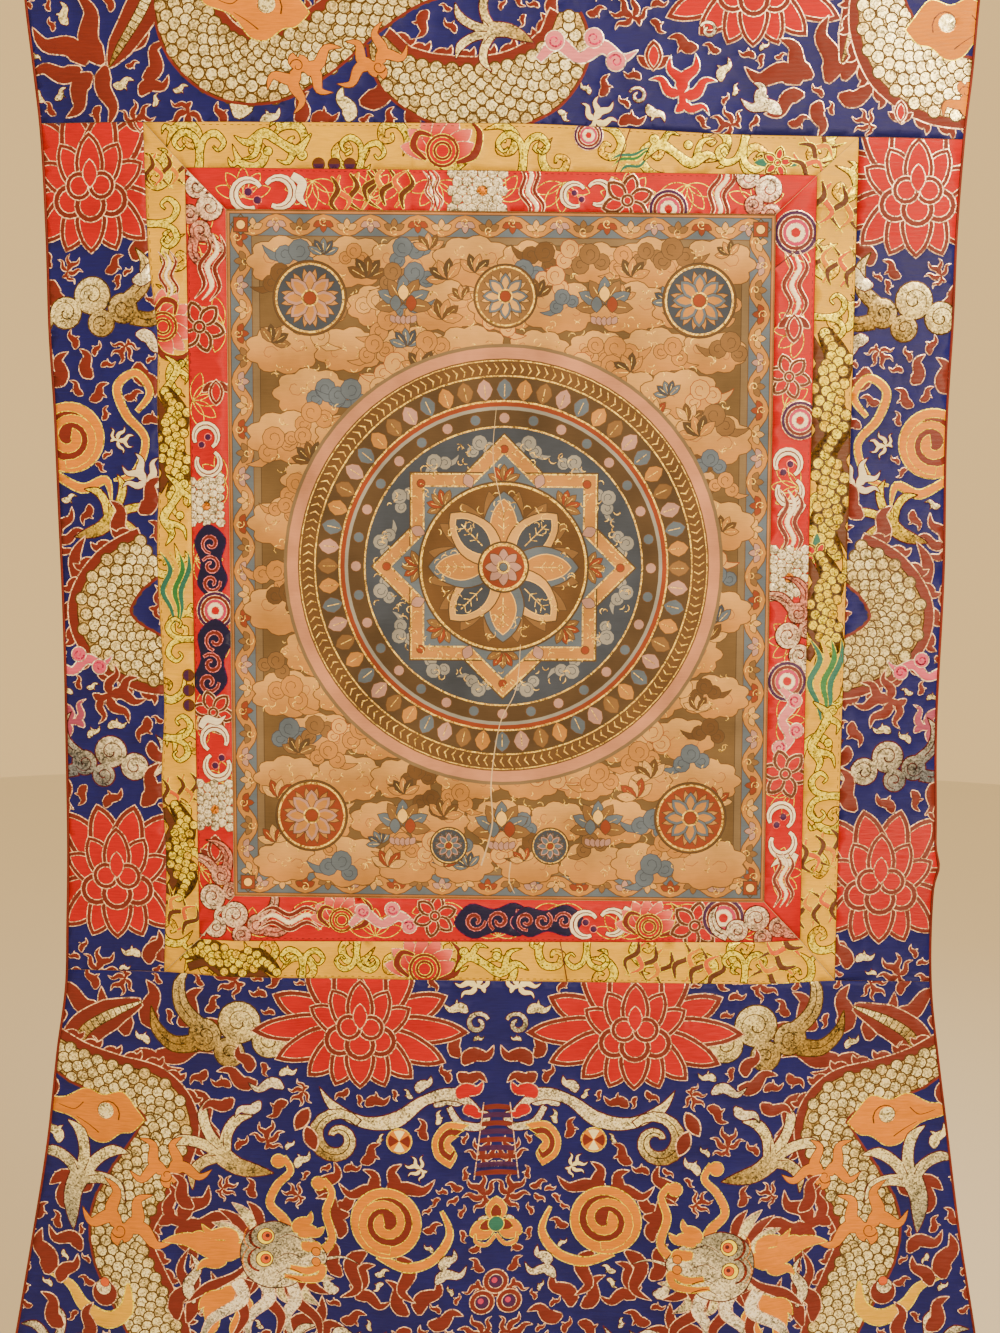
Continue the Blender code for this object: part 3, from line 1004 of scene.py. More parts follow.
def dragon_body(pen, points, widths, spine):
    """A scaled body with a maroon stripe and fins on its back; spine is 1 or -1, for the side."""
    line = sweep(points, 7)
    count = len(line)
    side = ribbon(line, tuple(width + 2.0 for width in widths))
    back = side[:count] if spine > 0 else side[count:][::-1]
    for point, heading, _ in walk(back, 17.0):
        turn = math.degrees(math.atan2(heading[1], heading[0])) + (140 if spine > 0 else 40)
        fin = spun(tongue(17, 10, 2.0 * spine), *point, turn)
        pen.fill(fin, MAROON, PALE_THREAD, 0.8)
    band(pen, back, (13, 13), MAROON, PALE_THREAD)
    band(pen, line, widths, SCALE_DARK, OLIVE, 0.8, METAL)
    scales(pen, line, widths)
    front = side[count:][::-1] if spine > 0 else side[:count]
    band(pen, front, (2.0, 2.0), MAROON)


def claw(pen, light, dark):
    """A paw with four hooked talons."""
    outlines = []
    for turn, length, hook in ((-82, 30, 9), (-34, 36, 8), (14, 37, -8), (62, 31, -9)):
        line = sweep([(0, 0), (hook * 0.3, -length * 0.45), (0, -length * 0.8), (-hook, -length)],
                     5)
        outlines.append(spun(ribbon(line, (10, 8, 8, 1)), 0, 0, turn))
    outlines.append(ribbon(sweep([(0, -6), (3, 12), (-3, 34)], 4), (15, 13, 11, 1)))
    shade = Fade(light, dark, (-20, -26), (18, 24))
    join_up(pen, outlines, shade, DARK_MAROON, 0.9, METAL)
    for turn in (-60, -10, 38):
        pen.line(spun([(0, -5), (0, -13)], 0, 0, turn), (0.9, 0.5), DARK_MAROON)


def paw(pen):
    """An orange foot whose toes run out like flames."""
    flames(pen, ((0, 0, -100, 34, 8, 5), (0, 0, -28, 30, 8, -5), (0, 0, 24, 34, 8, 5),
                 (0, 2, 80, 30, 8, -6), (0, -4, 170, 16, 12, 2)), ORANGE, BROWN, 0.6)
    pen.line(spiral(2, 2, 6, 1.5, 30, 1.0), (0.9, 0.5), BROWN)


def fire_patch(pen):
    """An orange flame cloud with one curl in it."""
    outline = curve([(-34, -6), (-22, -20), (-6, -17), (8, -22), (26, -14), (42, -16, 1), (38, -4),
                     (22, 2), (14, 8), (4, 20), (-8, 22), (-20, 14), (-30, 12), (-40, 2, 1)], steps=5)
    pen.fill(outline, ORANGE, LEMON, 0.7)
    pen.fill(circle(-8, -4, 7, 16), SCALE_LIGHT, ORANGE, 0.5, METAL)
    pen.line(spiral(-8, -3, 12, 4, 150, 0.8), (1.1, 0.5), BROWN)
    pen.line(sweep([(10, -10), (18, -4), (30, -8)]), (0.9, 0.4), BROWN)
    pen.line(sweep([(-2, 14), (6, 8), (16, 2)]), (0.9, 0.4), BROWN)


def spiral_roundel(pen, tails=True):
    """A whirling disc with tails that curl off it."""
    if tails:
        flames(pen, ((-8, 24, 196, 34, 9, 6), (14, 22, 158, 38, 9, -7)))
        stroke(pen, [(6, 24), (-14, 32), (-34, 26), (-46, 8), (-40, -10)], (6, 8, 7, 3), ORANGE, LEMON)
    pen.fill(circle(0, 0, 26, 30), ORANGE, LEMON, 0.8)
    pen.fill(circle(-1, -1, 18.5, 26), MAROON, LEMON, 0.6)
    pen.fill(ribbon(spiral(0, 0, 20, 3, 100, -1.45, 16), (7, 6, 9)), ORANGE, LEMON, 0.5)


def pearl(pen):
    """A small quartered pearl."""
    pen.fill(circle(0, 0, 10, 20), ORANGE, LEMON, 0.7)
    for turn, half, dye in ((0, 34, MAROON), (180, 34, MAROON),
                            (90, 30, SCALE_LIGHT), (270, 30, SCALE_LIGHT)):
        pen.loop([(0, 0)] + arc(0, 0, 8.4, turn - half, turn + half, 6), dye)


def striped_drop(pen):
    """A drop in stripes of orange and maroon."""
    for size, dye in ((1.0, ORANGE), (0.72, MAROON), (0.42, ORANGE)):
        outline = curve([(-13 * size, -14 * size, 1), (4 * size, -16 * size), (14 * size, -4 * size),
                         (12 * size, 10 * size), (1, 18 * size, 1), (-4 * size, 8 * size),
                         (2 * size, -2 * size)], steps=5)
        pen.fill(outline, dye, LEMON, 0.6)


def bar_stack(pen):
    """Rounded bars that widen downwards between two threads."""
    for i in range(9):
        half = 10 + i * 0.7
        y = i * 6.4
        outline = curve([(-half, y - 1.6), (0, y - 3.0), (half, y - 1.6), (half, y + 1.6), (0, y + 1.0),
                         (-half, y + 1.6)], steps=4)
        pen.loop(outline, (MAROON, PURPLE)[i % 2])
    for side in (-1, 1):
        pen.line([(side * 10, -4), (side * 17, 56)], 0.8, PALE_THREAD)


def trefoil(pen):
    """Three leaves round a jewel, edged in yellow, with two curls below."""
    for turn in (0, -112, 112):
        pen.turned(turn).fill(lens(22, 17), ORANGE, LEMON, 0.7)
        pen.at(0, -2, turn=turn).fill(lens(14, 9), MAROON, LEMON, 0.5)
    pen.fill(circle(0, 0, 6.5, 16), TEAL, LEMON, 0.7)
    for side in (-1, 1):
        stroke(pen, [(0, 8), (side * 7, 16), (side * 15, 14), (side * 16, 7)], (3, 4, 2), ORANGE, LEMON,
               0.5)


def bead_trio(pen):
    for x, y in ((-11, 6), (11, 6), (0, -11)):
        pen.fill(circle(x, y, 10.5, 20), MAROON, PALE_THREAD, 0.8)
        pen.fill(circle(x, y, 6.2, 16), PURPLE, PALE_THREAD, 0.6)
        pen.loop(circle(x - 1, y - 1, 2.4, 10), MAGENTA)


def long_scroll(pen):
    """A silver wave ribbon that ends in a tight golden curl."""
    shade = Fade(SILVER, SCALE_LIGHT, (-60, 0), (50, 10))
    stroke(pen, [(-66, 2), (-48, -10), (-28, -6), (-8, 8), (14, 10), (34, 0), (44, -14)],
           (3, 10, 8, 12, 9, 8, 0.5), shade, DARK_MAROON, weave=METAL)
    stroke(pen, [(-44, -2), (-52, 10), (-66, 12), (-70, 4), (-62, 2)], (5, 7, 6, 3), shade, DARK_MAROON,
           weave=METAL)
    line = spiral(32, 22, 19, 4, 215, 1.35, 16)
    pen.fill(ribbon(line, (6, 12, 9, 5)), Fade(SCALE_LIGHT, DEEP_GOLD, (20, 8), (44, 38)), DARK_MAROON,
             0.9, METAL)
    pen.line(spiral(32, 22, 19, 5, 225, 1.2, 16)[2:], (0.8, 1.0), OLIVE)


def pink_scroll(pen, colour=PINK):
    """A pink wave with three curls."""
    stroke(pen, [(-34, 6), (-20, -6), (-4, 4), (12, -4), (26, 4), (38, -2)], (6, 11, 9, 11, 8, 1), colour,
           WHITE)
    for x, y, first in ((-22, -8, 0), (6, -10, 20), (22, 6, 200)):
        pen.fill(circle(x, y, 7.5, 16), colour, WHITE, 0.7)
        pen.line(spiral(x, y, 5, 1, first, 1.2), (1.6, 0.8), MAGENTA)


def dragon_head(pen):
    """A head turned to the middle, with horns, a mane and a beard of long strands."""
    for i, (turn, length) in enumerate((
            (20, 40), (32, 44), (44, 46), (56, 44), (118, 62), (128, 60), (138, 56), (196, 34),
            (208, 38), (222, 44), (236, 44), (250, 42))):
        shade = (MAROON, Fade(SCALE_LIGHT, STEEL, (0, -20), (0, -50)))[i % 2]
        weave = (SILK, METAL)[i % 2]
        flames(pen.at(4, 4, turn=turn), ((0, -8, 0, length - 8, 9, 2.5),), shade, PALE_THREAD,
               weave=weave)
    flames(pen, ((20, -2, 84, 54, 12, 3), (26, -6, 66, 26, 8, -3), (40, -4, 60, 18, 7, 2),
                 (34, 2, 116, 22, 7, 2)), ORANGE, LEMON, 0.6)
    flames(pen, ((26, 24, 118, 30, 11, 3), (34, 30, 150, 34, 10, -4), (24, 30, 172, 34, 9, 3)), ORANGE,
           LEMON, 0.6)
    for i, (x, reach, bend) in enumerate(((-16, -12, 5), (-7, -6, -5), (2, 2, 5), (11, 8, -5),
                                          (20, 16, 5), (28, 26, -4))):
        dye = (MAROON, Fade(WHITE, STEEL, (0, 30), (0, 66)))[i % 2]
        stroke(pen, [(x, 20), (x + bend, 34), (x + reach * 0.5 - bend, 48), (x + reach, 68)],
               (9, 9, 7, 0.5), dye, PALE_THREAD, 0.7, (SILK, METAL)[i % 2])
    for line, tip in (([(-10, 4), (-28, 0), (-37, -10), (-33, -28), (-37, -42), (-31, -51)], (-28, -48)),
                      ([(-8, -12), (-4, -22), (5, -33), (0, -46), (-9, -56), (-4, -66)], (-1, -63))):
        horn = ribbon(sweep(line, 6), (8, 7, 6, 6, 5, 5))
        join_up(pen, [horn, circle(*tip, 5.2, 14)], ORANGE, LEMON, 0.7)
    stroke(pen, [(-8, 8), (-26, 6), (-44, 2), (-56, 6)], (3, 3, 2, 0.5), SILVER, DARK_MAROON, 0.4, METAL)
    face = curve([(-31, -3), (-22, -11), (-12, -16), (2, -21), (16, -17), (24, -7), (25, 7), (19, 20),
                  (6, 27), (-10, 25), (-18, 17), (-30, 11), (-34, 4)], steps=4)
    pen.fill(face, Fade(SILVER, STEEL, (-14, 20), (10, -16)), DARK_MAROON, 0.9, METAL)
    stroke(pen, [(-8, 12), (-20, 14), (-30, 10), (-28, 18), (-16, 20), (-4, 18)], (4, 6, 5, 6, 5, 3),
           ORANGE, LEMON, 0.6)
    flames(pen, ((-14, -10, -70, 18, 8, 2), (-12, -12, -38, 18, 7, 2), (-16, -6, -104, 14, 6, -2)),
           ORANGE, LEMON, 0.6)
    for x, y in ((8, -10), (9, 6)):
        pen.fill(circle(x, y, 6.0, 16), LEMON, DARK_MAROON, 0.7)
        pen.fill(circle(x - 0.8, y, 3.7, 14), EYE, MAROON, 0.6)
        pen.loop(circle(x - 1.2, y - 0.5, 1.5, 8), DARK_MAROON)
        pen.line(arc(x + 2, y, 8.6, -80, 80, 8), (0.6, 2.4, 1.4), MAROON)
        pen.line(arc(x + 4, y, 10.5, -60, 60, 8), (0.4, 1.2, 0.4), ORANGE)
    for x, y in ((-26, 0), (-26, 7)):
        pen.fill(circle(x, y, 3.4, 12), ORANGE, DARK_MAROON, 0.6)
    for y in (-9, 4, 15, 21):
        pen.line(sweep([(-16, y + 1), (-7, y - 2), (1, y + 2)]), (0.9, 0.4), DARK_MAROON)


def pearl_scroll(pen):
    """A yellow crescent that holds a red pearl."""
    stroke(pen, [(-30, -14), (-28, 8), (-12, 18), (8, 8), (20, -8), (38, -16)], (3, 13, 15, 11, 8, 1),
           YELLOW, LEMON)
    pen.fill(circle(-10, -4, 11, 18), MAROON, PALE_THREAD, 0.8)
    pen.fill(circle(-9, -9, 7, 16), SILVER, DARK_MAROON, 0.6, METAL)
    pen.fill(circle(-10, -13, 4.2, 12), EYE, MAROON, 0.5)


def tail_band(pen, points, widths):
    """A narrow stretch of the tail: barred gold between maroon sides."""
    line = sweep(points, 7)
    band(pen, line, tuple(width * 3.2 for width in widths), MAROON, PALE_THREAD)
    band(pen, line, widths, Fade(SCALE_LIGHT, DEEP_GOLD, points[0], points[-1]), OLIVE, 0.7, METAL)
    for point, heading, share in walk(line, 5.0):
        half = width_at(widths, share) * 0.42
        pen.line([beside(point, heading, half), beside(point, heading, -half)], 0.7, OLIVE)


# Filling the open ground, in millimetres: the spacing of the places tried, the least room for a
# flame, the room for a branch of flames, and the most room that a figure takes.
GAP_PITCH = 7.0
LEAST_ROOM = 4.6
BRANCH_ROOM = 11.5
MOST_ROOM = 17.0
SILVER_SHARE = 0.22


def fill_gaps(layers, box, seed):
    """Small flames and wisps in the open ground between the figures."""
    chance = random.Random(seed)
    left, top, right, bottom = box
    spots = np.array([(x + chance.uniform(-3, 3), y + chance.uniform(-3, 3))
                      for x in np.arange(left, right, GAP_PITCH) for y in np.arange(top, bottom, GAP_PITCH)])
    free = np.ones(len(spots), dtype=bool)
    outlines = [point for layer in layers for point in layer.points]
    tree = search_tree(outlines)
    for layer in layers:
        corners = np.array(layer.points)
        near = np.flatnonzero(free & np.all((spots > corners.min(axis=0)) & (spots < corners.max(axis=0)),
                                            axis=1))
        free[near[inside(layer.points, spots[near])]] = False
    room = sorted(((tree.find((x, y, 0.0))[2], x, y) for x, y in spots[free].tolist()), reverse=True)
    pen, taken = Pen(layers), []
    for clear, x, y in room:
        clear = min([clear] + [math.dist((x, y), (px, py)) - reach for px, py, reach in taken])
        if clear < LEAST_ROOM:
            continue
        taken.append((x, y, min(clear, MOST_ROOM) * 0.86))
        turn = chance.choice((-70, -40, -15, 20, 45, 75, 130, 200))
        silver = chance.random() < SILVER_SHARE
        dye, rim, weave = (SCALE_LIGHT, DARK_MAROON, METAL) if silver else (MAROON, PALE_THREAD, SILK)
        spot = pen.at(x, y, 1.0, turn, chance.random() < 0.5)
        if clear > BRANCH_ROOM:
            size = min(clear, MOST_ROOM) / (2 * MOST_ROOM)
            fire_branch(spot.at(0, 2, size), dye, rim, 0.6)
            continue
        length = clear * 2.0
        flames(spot, ((0, length * 0.48, 0, length * 0.92, clear * 0.62, clear * 0.24),
                      (0, length * 0.3, 42, length * 0.5, clear * 0.42, clear * 0.16)), dye, rim, 0.55,
               weave)


def mirrored(layers):
    """The same figures on the other side of the middle line."""
    copies = []
    for layer in layers:
        dye = layer.dye
        if isinstance(dye, Fade):
            dye = Fade(dye.first, dye.second, (-dye.start[0], dye.start[1]), (-dye.end[0], dye.end[1]))
        copies.append(layer._replace(points=[(-x, y) for x, y in layer.points], dye=dye))
    return copies


def draw_bottom_half(pen):
    """The right half of the lower brocade; the left half mirrors it."""
    flames(pen, ((232, 868, -64, 40, 12, 4), (244, 858, -30, 34, 11, -4), (262, 862, 6, 36, 12, 4),
                 (284, 868, 30, 40, 12, -4), (300, 848, 64, 44, 11, 5), (330, 850, 96, 30, 10, 3),
                 (262, 880, -84, 44, 11, -4), (282, 884, -104, 40, 10, 4)))
    tail_band(pen, [(272, 841), (296, 851), (315, 863), (321, 876), (310, 885)], (2, 8, 9, 9, 7))
    cloud(pen.at(200, 857, 1.12))
    flames(pen, ((232, 908, -150, 34, 9, 4), (238, 930, -120, 32, 9, -4), (236, 950, -78, 24, 8, 4),
                 (330, 1008, 20, 30, 9, 4), (322, 1040, 60, 30, 9, -5), (312, 980, 100, 34, 14, 4)))
    dragon_body(pen, [(346, 876), (322, 893), (294, 903), (266, 912), (252, 930), (258, 952),
                      (276, 982), (291, 1010), (291, 1036), (280, 1062), (266, 1090), (258, 1120),
                      (262, 1146), (280, 1166)],
                (20, 26, 27, 30, 34, 40, 44, 44, 43, 42, 40, 36, 26, 10), spine=1)
    fire_patch(pen.at(309, 931, 0.98))
    claw(pen.at(208, 956, 1.2, turn=62), SCALE_LIGHT, DEEP_GOLD)
    claw(pen.at(322, 982, 1.25, turn=-14), SCALE_LIGHT, STEEL)
    fire_branch(pen.at(240, 1012, 1.1, turn=-84))
    paw(pen.at(252, 973, 0.95, turn=12))
    paw(pen.at(288, 1018, 1.12, turn=-8))
    flames(pen, ((246, 1090, -20, 44, 10, 6), (238, 1092, 2, 56, 9, -6), (226, 1086, -16, 34, 9, 5)))
    silver_flames(pen, ((232, 1076, 0, 38, 8, 5),))
    pearl_scroll(pen.at(312, 1074, 0.95))
    flames(pen, ((158, 1112, -34, 46, 13, 6), (150, 1106, -62, 34, 10, -5), (196, 1118, 12, 30, 9, 4)))
    silver_flames(pen, ((170, 1120, -46, 40, 9, -5), (126, 1100, -80, 22, 7, 3)))
    claw(pen.at(346, 1120, 1.0, turn=-30), SILVER, STEEL)
    flames(pen, ((26, 884, -62, 26, 9, 4), (30, 890, -104, 22, 8, -3), (28, 878, 16, 22, 8, 3),
                 (182, 900, 70, 30, 9, 4), (188, 892, 24, 22, 8, -3), (200, 912, 110, 26, 8, 3)))
    flames(pen, ((132, 992, -20, 30, 9, 5), (126, 996, -66, 26, 8, -4), (232, 1000, 30, 30, 9, 4),
                 (118, 1052, 20, 30, 9, 4), (112, 1060, -40, 26, 9, -4), (108, 1068, -96, 26, 8, 4)))
    flames(pen, ((58, 1078, -30, 30, 10, 5), (52, 1084, -76, 26, 9, -4), (66, 1078, 30, 30, 9, 4),
                 (216, 1140, 30, 44, 11, 5), (206, 1146, -10, 36, 11, -4), (232, 1150, 62, 30, 9, 4)))
    flames(pen, ((352, 930, -20, 30, 12, 4), (350, 1060, 10, 34, 12, -4), (340, 1066, -36, 26, 9, 3),
                 (336, 1100, 30, 30, 10, 4), (320, 1110, -10, 30, 9, -4)))
    lotus(pen.at(104, 858, 1.04))
    tight_curl(pen.at(15, 852, 1.1))
    silver_flames(pen, ((48, 916, -76, 26, 7, 3), (60, 906, -40, 16, 7, 2), (162, 905, 84, 26, 7, -4),
                 (180, 914, 120, 22, 7, 3)))
    long_scroll(pen.at(86, 918, 1.12))
    flames(pen, ((30, 910, -60, 22, 9, 3), (26, 920, -96, 16, 8, 2)), RED)
    pearl(pen.at(74, 943))
    striped_drop(pen.at(34, 945, 1.05))
    for x, y, turn in ((138, 954, 20), (154, 938, -30)):
        pen.at(x, y, turn=turn).fill(lens(22, 12), MAROON, PALE_THREAD)
    flames(pen, ((82, 988, -70, 36, 9, 4), (84, 986, -20, 26, 9, -4), (84, 988, 34, 26, 9, 4),
                 (86, 990, 76, 34, 8, -5), (112, 1002, 60, 26, 8, 6), (120, 1022, 20, 26, 8, -5)))
    spiral_roundel(pen.at(84, 1007, 1.06))
    silver_flames(pen, ((46, 1054, -64, 26, 7, 4), (40, 1044, -30, 18, 7, 3), (120, 1062, 70, 18, 7, 3)))
    silver_cloud(pen.at(62, 1120, 0.7))
    silver_cloud(pen.at(196, 1166, 0.7))
    silver_cloud(pen.at(120, 1172, 0.6, flip=True))
    fire_branch(pen.at(20, 1168, 0.7))
    fire_branch(pen.at(330, 1172, 0.8, turn=-20))
    dragon_head(pen.at(168, 1034, 1.14))


def draw_bottom_brocade():
    half = []
    draw_bottom_half(Pen(half))
    fill_gaps(half, (12, 822, 392, 1198), 3)
    layers = half + mirrored(half)
    pen = Pen(layers)
    bar_stack(pen.at(0, 917))
    trefoil(pen.at(0, 1008))
    bead_trio(pen.at(0, 1064, 0.95))
    return layers


def draw_top_brocade():
    layers = []
    pen = Pen(layers)
    silver_cloud(pen.at(-40, 52, 0.9))
    silver_cloud(pen.at(112, 44, 0.9, flip=True))
    silver_cloud(pen.at(-238, 46, 0.9, flip=True))
    silver_cloud(pen.at(268, 40, 0.9))
    flames(pen, ((-300, 150, -60, 44, 12, 5), (-304, 152, -96, 36, 10, -4), (-296, 156, -150, 34, 11, 4),
                 (-286, 150, 176, 40, 10, 4), (-288, 150, -18, 50, 13, -5), (-268, 140, 16, 36, 10, 4),
                 (-260, 160, 30, 30, 9, 5), (-262, 172, 60, 24, 8, -4)))
    tail_band(pen, [(-252, 96), (-262, 116), (-276, 138), (-284, 152)], (8, 8, 6, 1))
    flames(pen, ((-60, 178, 200, 22, 10, 3), (-28, 186, 170, 18, 9, 2), (-104, 176, 60, 40, 12, 4),
                 (-150, 190, 20, 22, 9, 3)))
    flames(pen, ((-192, 188, 10, 40, 14, 2), (-112, 190, -12, 24, 9, 3)), SCALE_LIGHT, OLIVE, weave=METAL)
    dragon_body(pen, [(-232, 78), (-232, 104), (-222, 132), (-198, 152), (-166, 154), (-134, 138),
                      (-100, 112), (-64, 92), (-30, 88)],
                (26, 38, 44, 44, 42, 38, 34, 30, 22), spine=-1)
    fire_patch(pen.at(-178, 112, 0.98, flip=True))
    paw(pen.at(-146, 152, 0.9, turn=160))
    dragon_body(pen, [(-92, 132), (-76, 156), (-44, 170), (-6, 172), (26, 160), (44, 138), (46, 112)],
                (12, 30, 42, 46, 44, 34, 14), spine=-1)
    paw(pen.at(-92, 150, 0.85, turn=-20))
    pink_scroll(pen.at(58, 140))
    bud(pen.at(107, 146, 0.9))
    claw(pen.at(-8, 126, 0.9, turn=-80), SCALE_LIGHT, DEEP_GOLD)
    fire_branch(pen.at(128, 168, 0.8, turn=20), RED, WHITE)
    lotus(pen.at(178, 92))
    flames(pen, ((214, 160, -80, 40, 12, 5), (222, 156, -40, 34, 11, -4), (232, 160, -4, 44, 12, 5),
                 (244, 158, 34, 40, 11, -4), (240, 168, 84, 32, 10, 4), (228, 172, 180, 24, 9, 3),
                 (216, 168, -120, 30, 9, 4)))
    silver_flames(pen, ((200, 182, -74, 30, 8, 3), (190, 176, -30, 18, 8, -3)))
    tail_band(pen, [(258, 84), (254, 106), (248, 128), (242, 146)], (8, 8, 6, 1))
    dragon_body(pen, [(268, 88), (272, 116), (286, 142), (312, 158), (344, 162)],
                (24, 38, 44, 44, 42), spine=1)
    fire_patch(pen.at(326, 120, 0.98))
    paw(pen.at(336, 164, 0.8, turn=150))
    bud(pen.at(286, 182, 0.7))
    tight_curl(pen.at(96, 170, 0.8))
    tight_curl(pen.at(146, 124, 0.8))
    fill_gaps(layers, (-378, 60, 378, 188), 5)
    return layers


def draw_side_panel(pen):
    """Figures of the left strip of brocade; the right one mirrors them."""
    flames(pen, ((-330, 300, 160, 30, 11, 4), (-268, 288, 40, 26, 10, -3), (-266, 360, 150, 26, 10, 4),
                 (-330, 360, -20, 30, 10, -4), (-336, 352, -70, 20, 8, 3)))
    lotus(pen.at(-300, 236, 1.06))
    bud(pen.at(-262, 192, 0.8))
    cloud(pen.at(-296, 316, 0.95))
    silver_flames(pen, ((-270, 302, 60, 24, 8, 3), (-268, 340, 120, 24, 8, -3)))
    stroke(pen, [(-268, 396), (-258, 382), (-268, 368), (-282, 378), (-276, 398), (-262, 416),
                 (-270, 440), (-286, 446)], (4, 6, 6, 7, 7, 6, 6, 2), ORANGE, LEMON)
    flames(pen, ((-330, 378, 20, 26, 9, 4), (-300, 372, -20, 22, 8, -3)))
    spiral_roundel(pen.at(-318, 415), tails=False)
    stroke(pen, [(-332, 440), (-310, 452), (-292, 446), (-288, 462)], (6, 8, 7, 1), ORANGE, LEMON)
    fire_branch(pen.at(-330, 488, 0.7, turn=30))
    claw(pen.at(-290, 474, 0.9, turn=58), LEMON, DEEP_GOLD)
    fire_branch(pen.at(-262, 446, 0.6, turn=-20), SILVER, DARK_MAROON)
    flames(pen, ((-320, 546, 8, 56, 12, 5), (-304, 536, 24, 42, 11, -5), (-334, 540, -12, 44, 11, 4),
                 (-268, 470, 30, 30, 10, 4), (-276, 490, -20, 30, 10, -4)))
    dragon_body(pen, [(-258, 500), (-282, 516), (-296, 540), (-288, 562), (-262, 578), (-238, 582)],
                (30, 36, 40, 40, 38, 30), spine=1)
    pink_scroll(pen.at(-318, 584, 0.8, turn=-14), DEEP_PINK)
    fire_branch(pen.at(-292, 606, 0.75, turn=96))
    fire_branch(pen.at(-324, 626, 0.7, turn=-70), PLUM)
    cloud(pen.at(-296, 652, 0.85, flip=True), SILVER, BLUE_STEEL, DARK_MAROON)
    flames(pen, ((-262, 640, 150, 24, 8, 3), (-334, 668, 160, 26, 8, -3)))
    flames(pen, ((-270, 690, 20, 34, 10, 4), (-262, 684, 60, 24, 9, -3), (-262, 790, 150, 30, 10, 4)))
    lotus(pen.at(-290, 746, 1.06))
    bud(pen.at(-334, 694, 0.7))
    flames(pen, ((-336, 806, -20, 26, 9, 3), (-266, 812, 20, 26, 9, -3)))


def draw_side_brocade(side):
    layers = []
    draw_side_panel(Pen(layers))
    fill_gaps(layers, (-352, 192, -252, 818), 7)
    return mirrored(layers) if side > 0 else layers


def petal_flower(pen, petals=6, rim=PALE_THREAD):
    """An open flower of pointed petals round a ringed heart."""
    for turned in around(pen, petals, 12):
        turned.fill(lens(25, 17), BROWN, rim, 0.6)
        turned.at(0, -3).fill(lens(18, 10), RED, rim, 0.5)
    pen.fill(circle(0, 0, 6.5, 16), BROWN, rim, 0.6)
    pen.fill(circle(0, 0, 3.6, 12), RED, rim, 0.5)


def white_cloud(pen):
    """White lobes with pink shading and maroon lines."""
    cloud(pen, WHITE, SHELL_PINK, MAROON)


def cell_cluster(pen):
    """A patch of uneven white cells round an orange heart."""
    chance = random.Random(9)
    for row in range(5):
        for i in range(6 - row % 2):
            x, y = (i - 2.5 + 0.5 * (row % 2)) * 7.6, (row - 2) * 6.6
            turn = chance.uniform(0, 360)
            cell = [(x + px * chance.uniform(0.85, 1.1), y + py * chance.uniform(0.85, 1.1))
                    for px, py in arc(0, 0, 4.9, turn, turn + 300, 5)]
            orange = math.hypot(x - 4, y) < 5
            pen.fill(cell, ORANGE if orange else Fade(WHITE, SILVER, (x, y - 4), (x, y + 4)), CELL_EDGE,
                     0.5, METAL)


def white_hook(pen):
    """Bold white bands that curl round two purple eyes."""
    for x, y, flip in ((-9, 3, False), (14, 1, True)):
        side = pen.at(x, y, 1.0, 0, flip)
        line = arc(0, 0, 11, 60, 330, 12)
        side.fill(ribbon(line, (4, 8, 7, 4)), WHITE, MAROON, 0.5)
        side.line(arc(0, 0, 11, 80, 300, 10), (0.6, 1.0, 0.6), MAROON)
    for x, y in ((-9, 1), (-2, 7)):
        pen.fill(circle(x, y, 3.6, 12), PURPLE, ROSE, 0.6)
    stroke(pen, [(24, -12), (32, -6), (30, 4), (36, 12)], (6, 8, 7, 0.5), WHITE, MAROON, 0.5)


def fan_flower(pen):
    """A wide red flower that opens to one side."""
    for i in range(7):
        turned = pen.at(0, 8, turn=-78 + 26 * i)
        turned.fill(lens(31, 14), Fade(RED, ROSE, (0, -10), (0, -34)), PALE_THREAD, 0.6)
    for radius, dye in ((13, MAROON), (10.5, RED), (7.5, MAROON), (5.2, RED)):
        pen.fill(circle(2, 5, radius, 18), dye, LEMON, 0.5)
    stroke(pen, [(-10, 12), (-20, 2), (-16, -8), (-6, -6)], (3, 6, 5, 3), MAROON, LEMON, 0.5)
    stroke(pen, [(12, 14), (26, 8), (30, -8), (22, -18)], (3, 7, 6, 1), MAROON, LEMON, 0.5)


def wave_stripes(pen):
    """Bands that wave side by side."""
    for y, dye in ((-7, MAROON), (0, WHITE), (7, MAROON)):
        stroke(pen, [(-30, y + 3), (-16, y - 4), (0, y + 3), (16, y - 4), (30, y + 3)],
               (1, 4.6, 5, 4.6, 1), dye, PALE_THREAD, 0.6)


def navy_scroll(pen):
    """A dark blue patch with maroon scrolls edged in pink."""
    patch = curve([(-30, 2), (-18, -13), (0, -9), (16, -14), (31, -2), (20, 12), (2, 9), (-16, 14)], steps=4)
    pen.fill(patch, INDIGO, PURPLE, 0.8)
    for x, first in ((-14, 0), (4, 120), (18, 260)):
        line = spiral(x, 0, 8, 2, first, 1.2, 12)
        pen.fill(ribbon(line, (2.6, 3.8, 2.6)), MAROON, PINK, 0.6)


def arc_fan(pen):
    """A fan of concentric arcs."""
    for i, dye in enumerate((PURPLE, MAROON, MAGENTA, WHITE, RED)):
        pen.fill(circle(0, 0, 18 - i * 3.4, 22), dye, PALE_THREAD, 0.6)


def plume(pen):
    """A feather of waving strands."""
    for i, dye in enumerate((TEAL, GREEN, YELLOW, TEAL)):
        y = (i - 1.5) * 5.0
        stroke(pen, [(-26, y * 1.5), (-12, y - 4), (4, y + 3), (18, y * 0.6), (30, y * 0.2)],
               (0.6, 5, 5, 4, 2), dye, LEMON, 0.5)


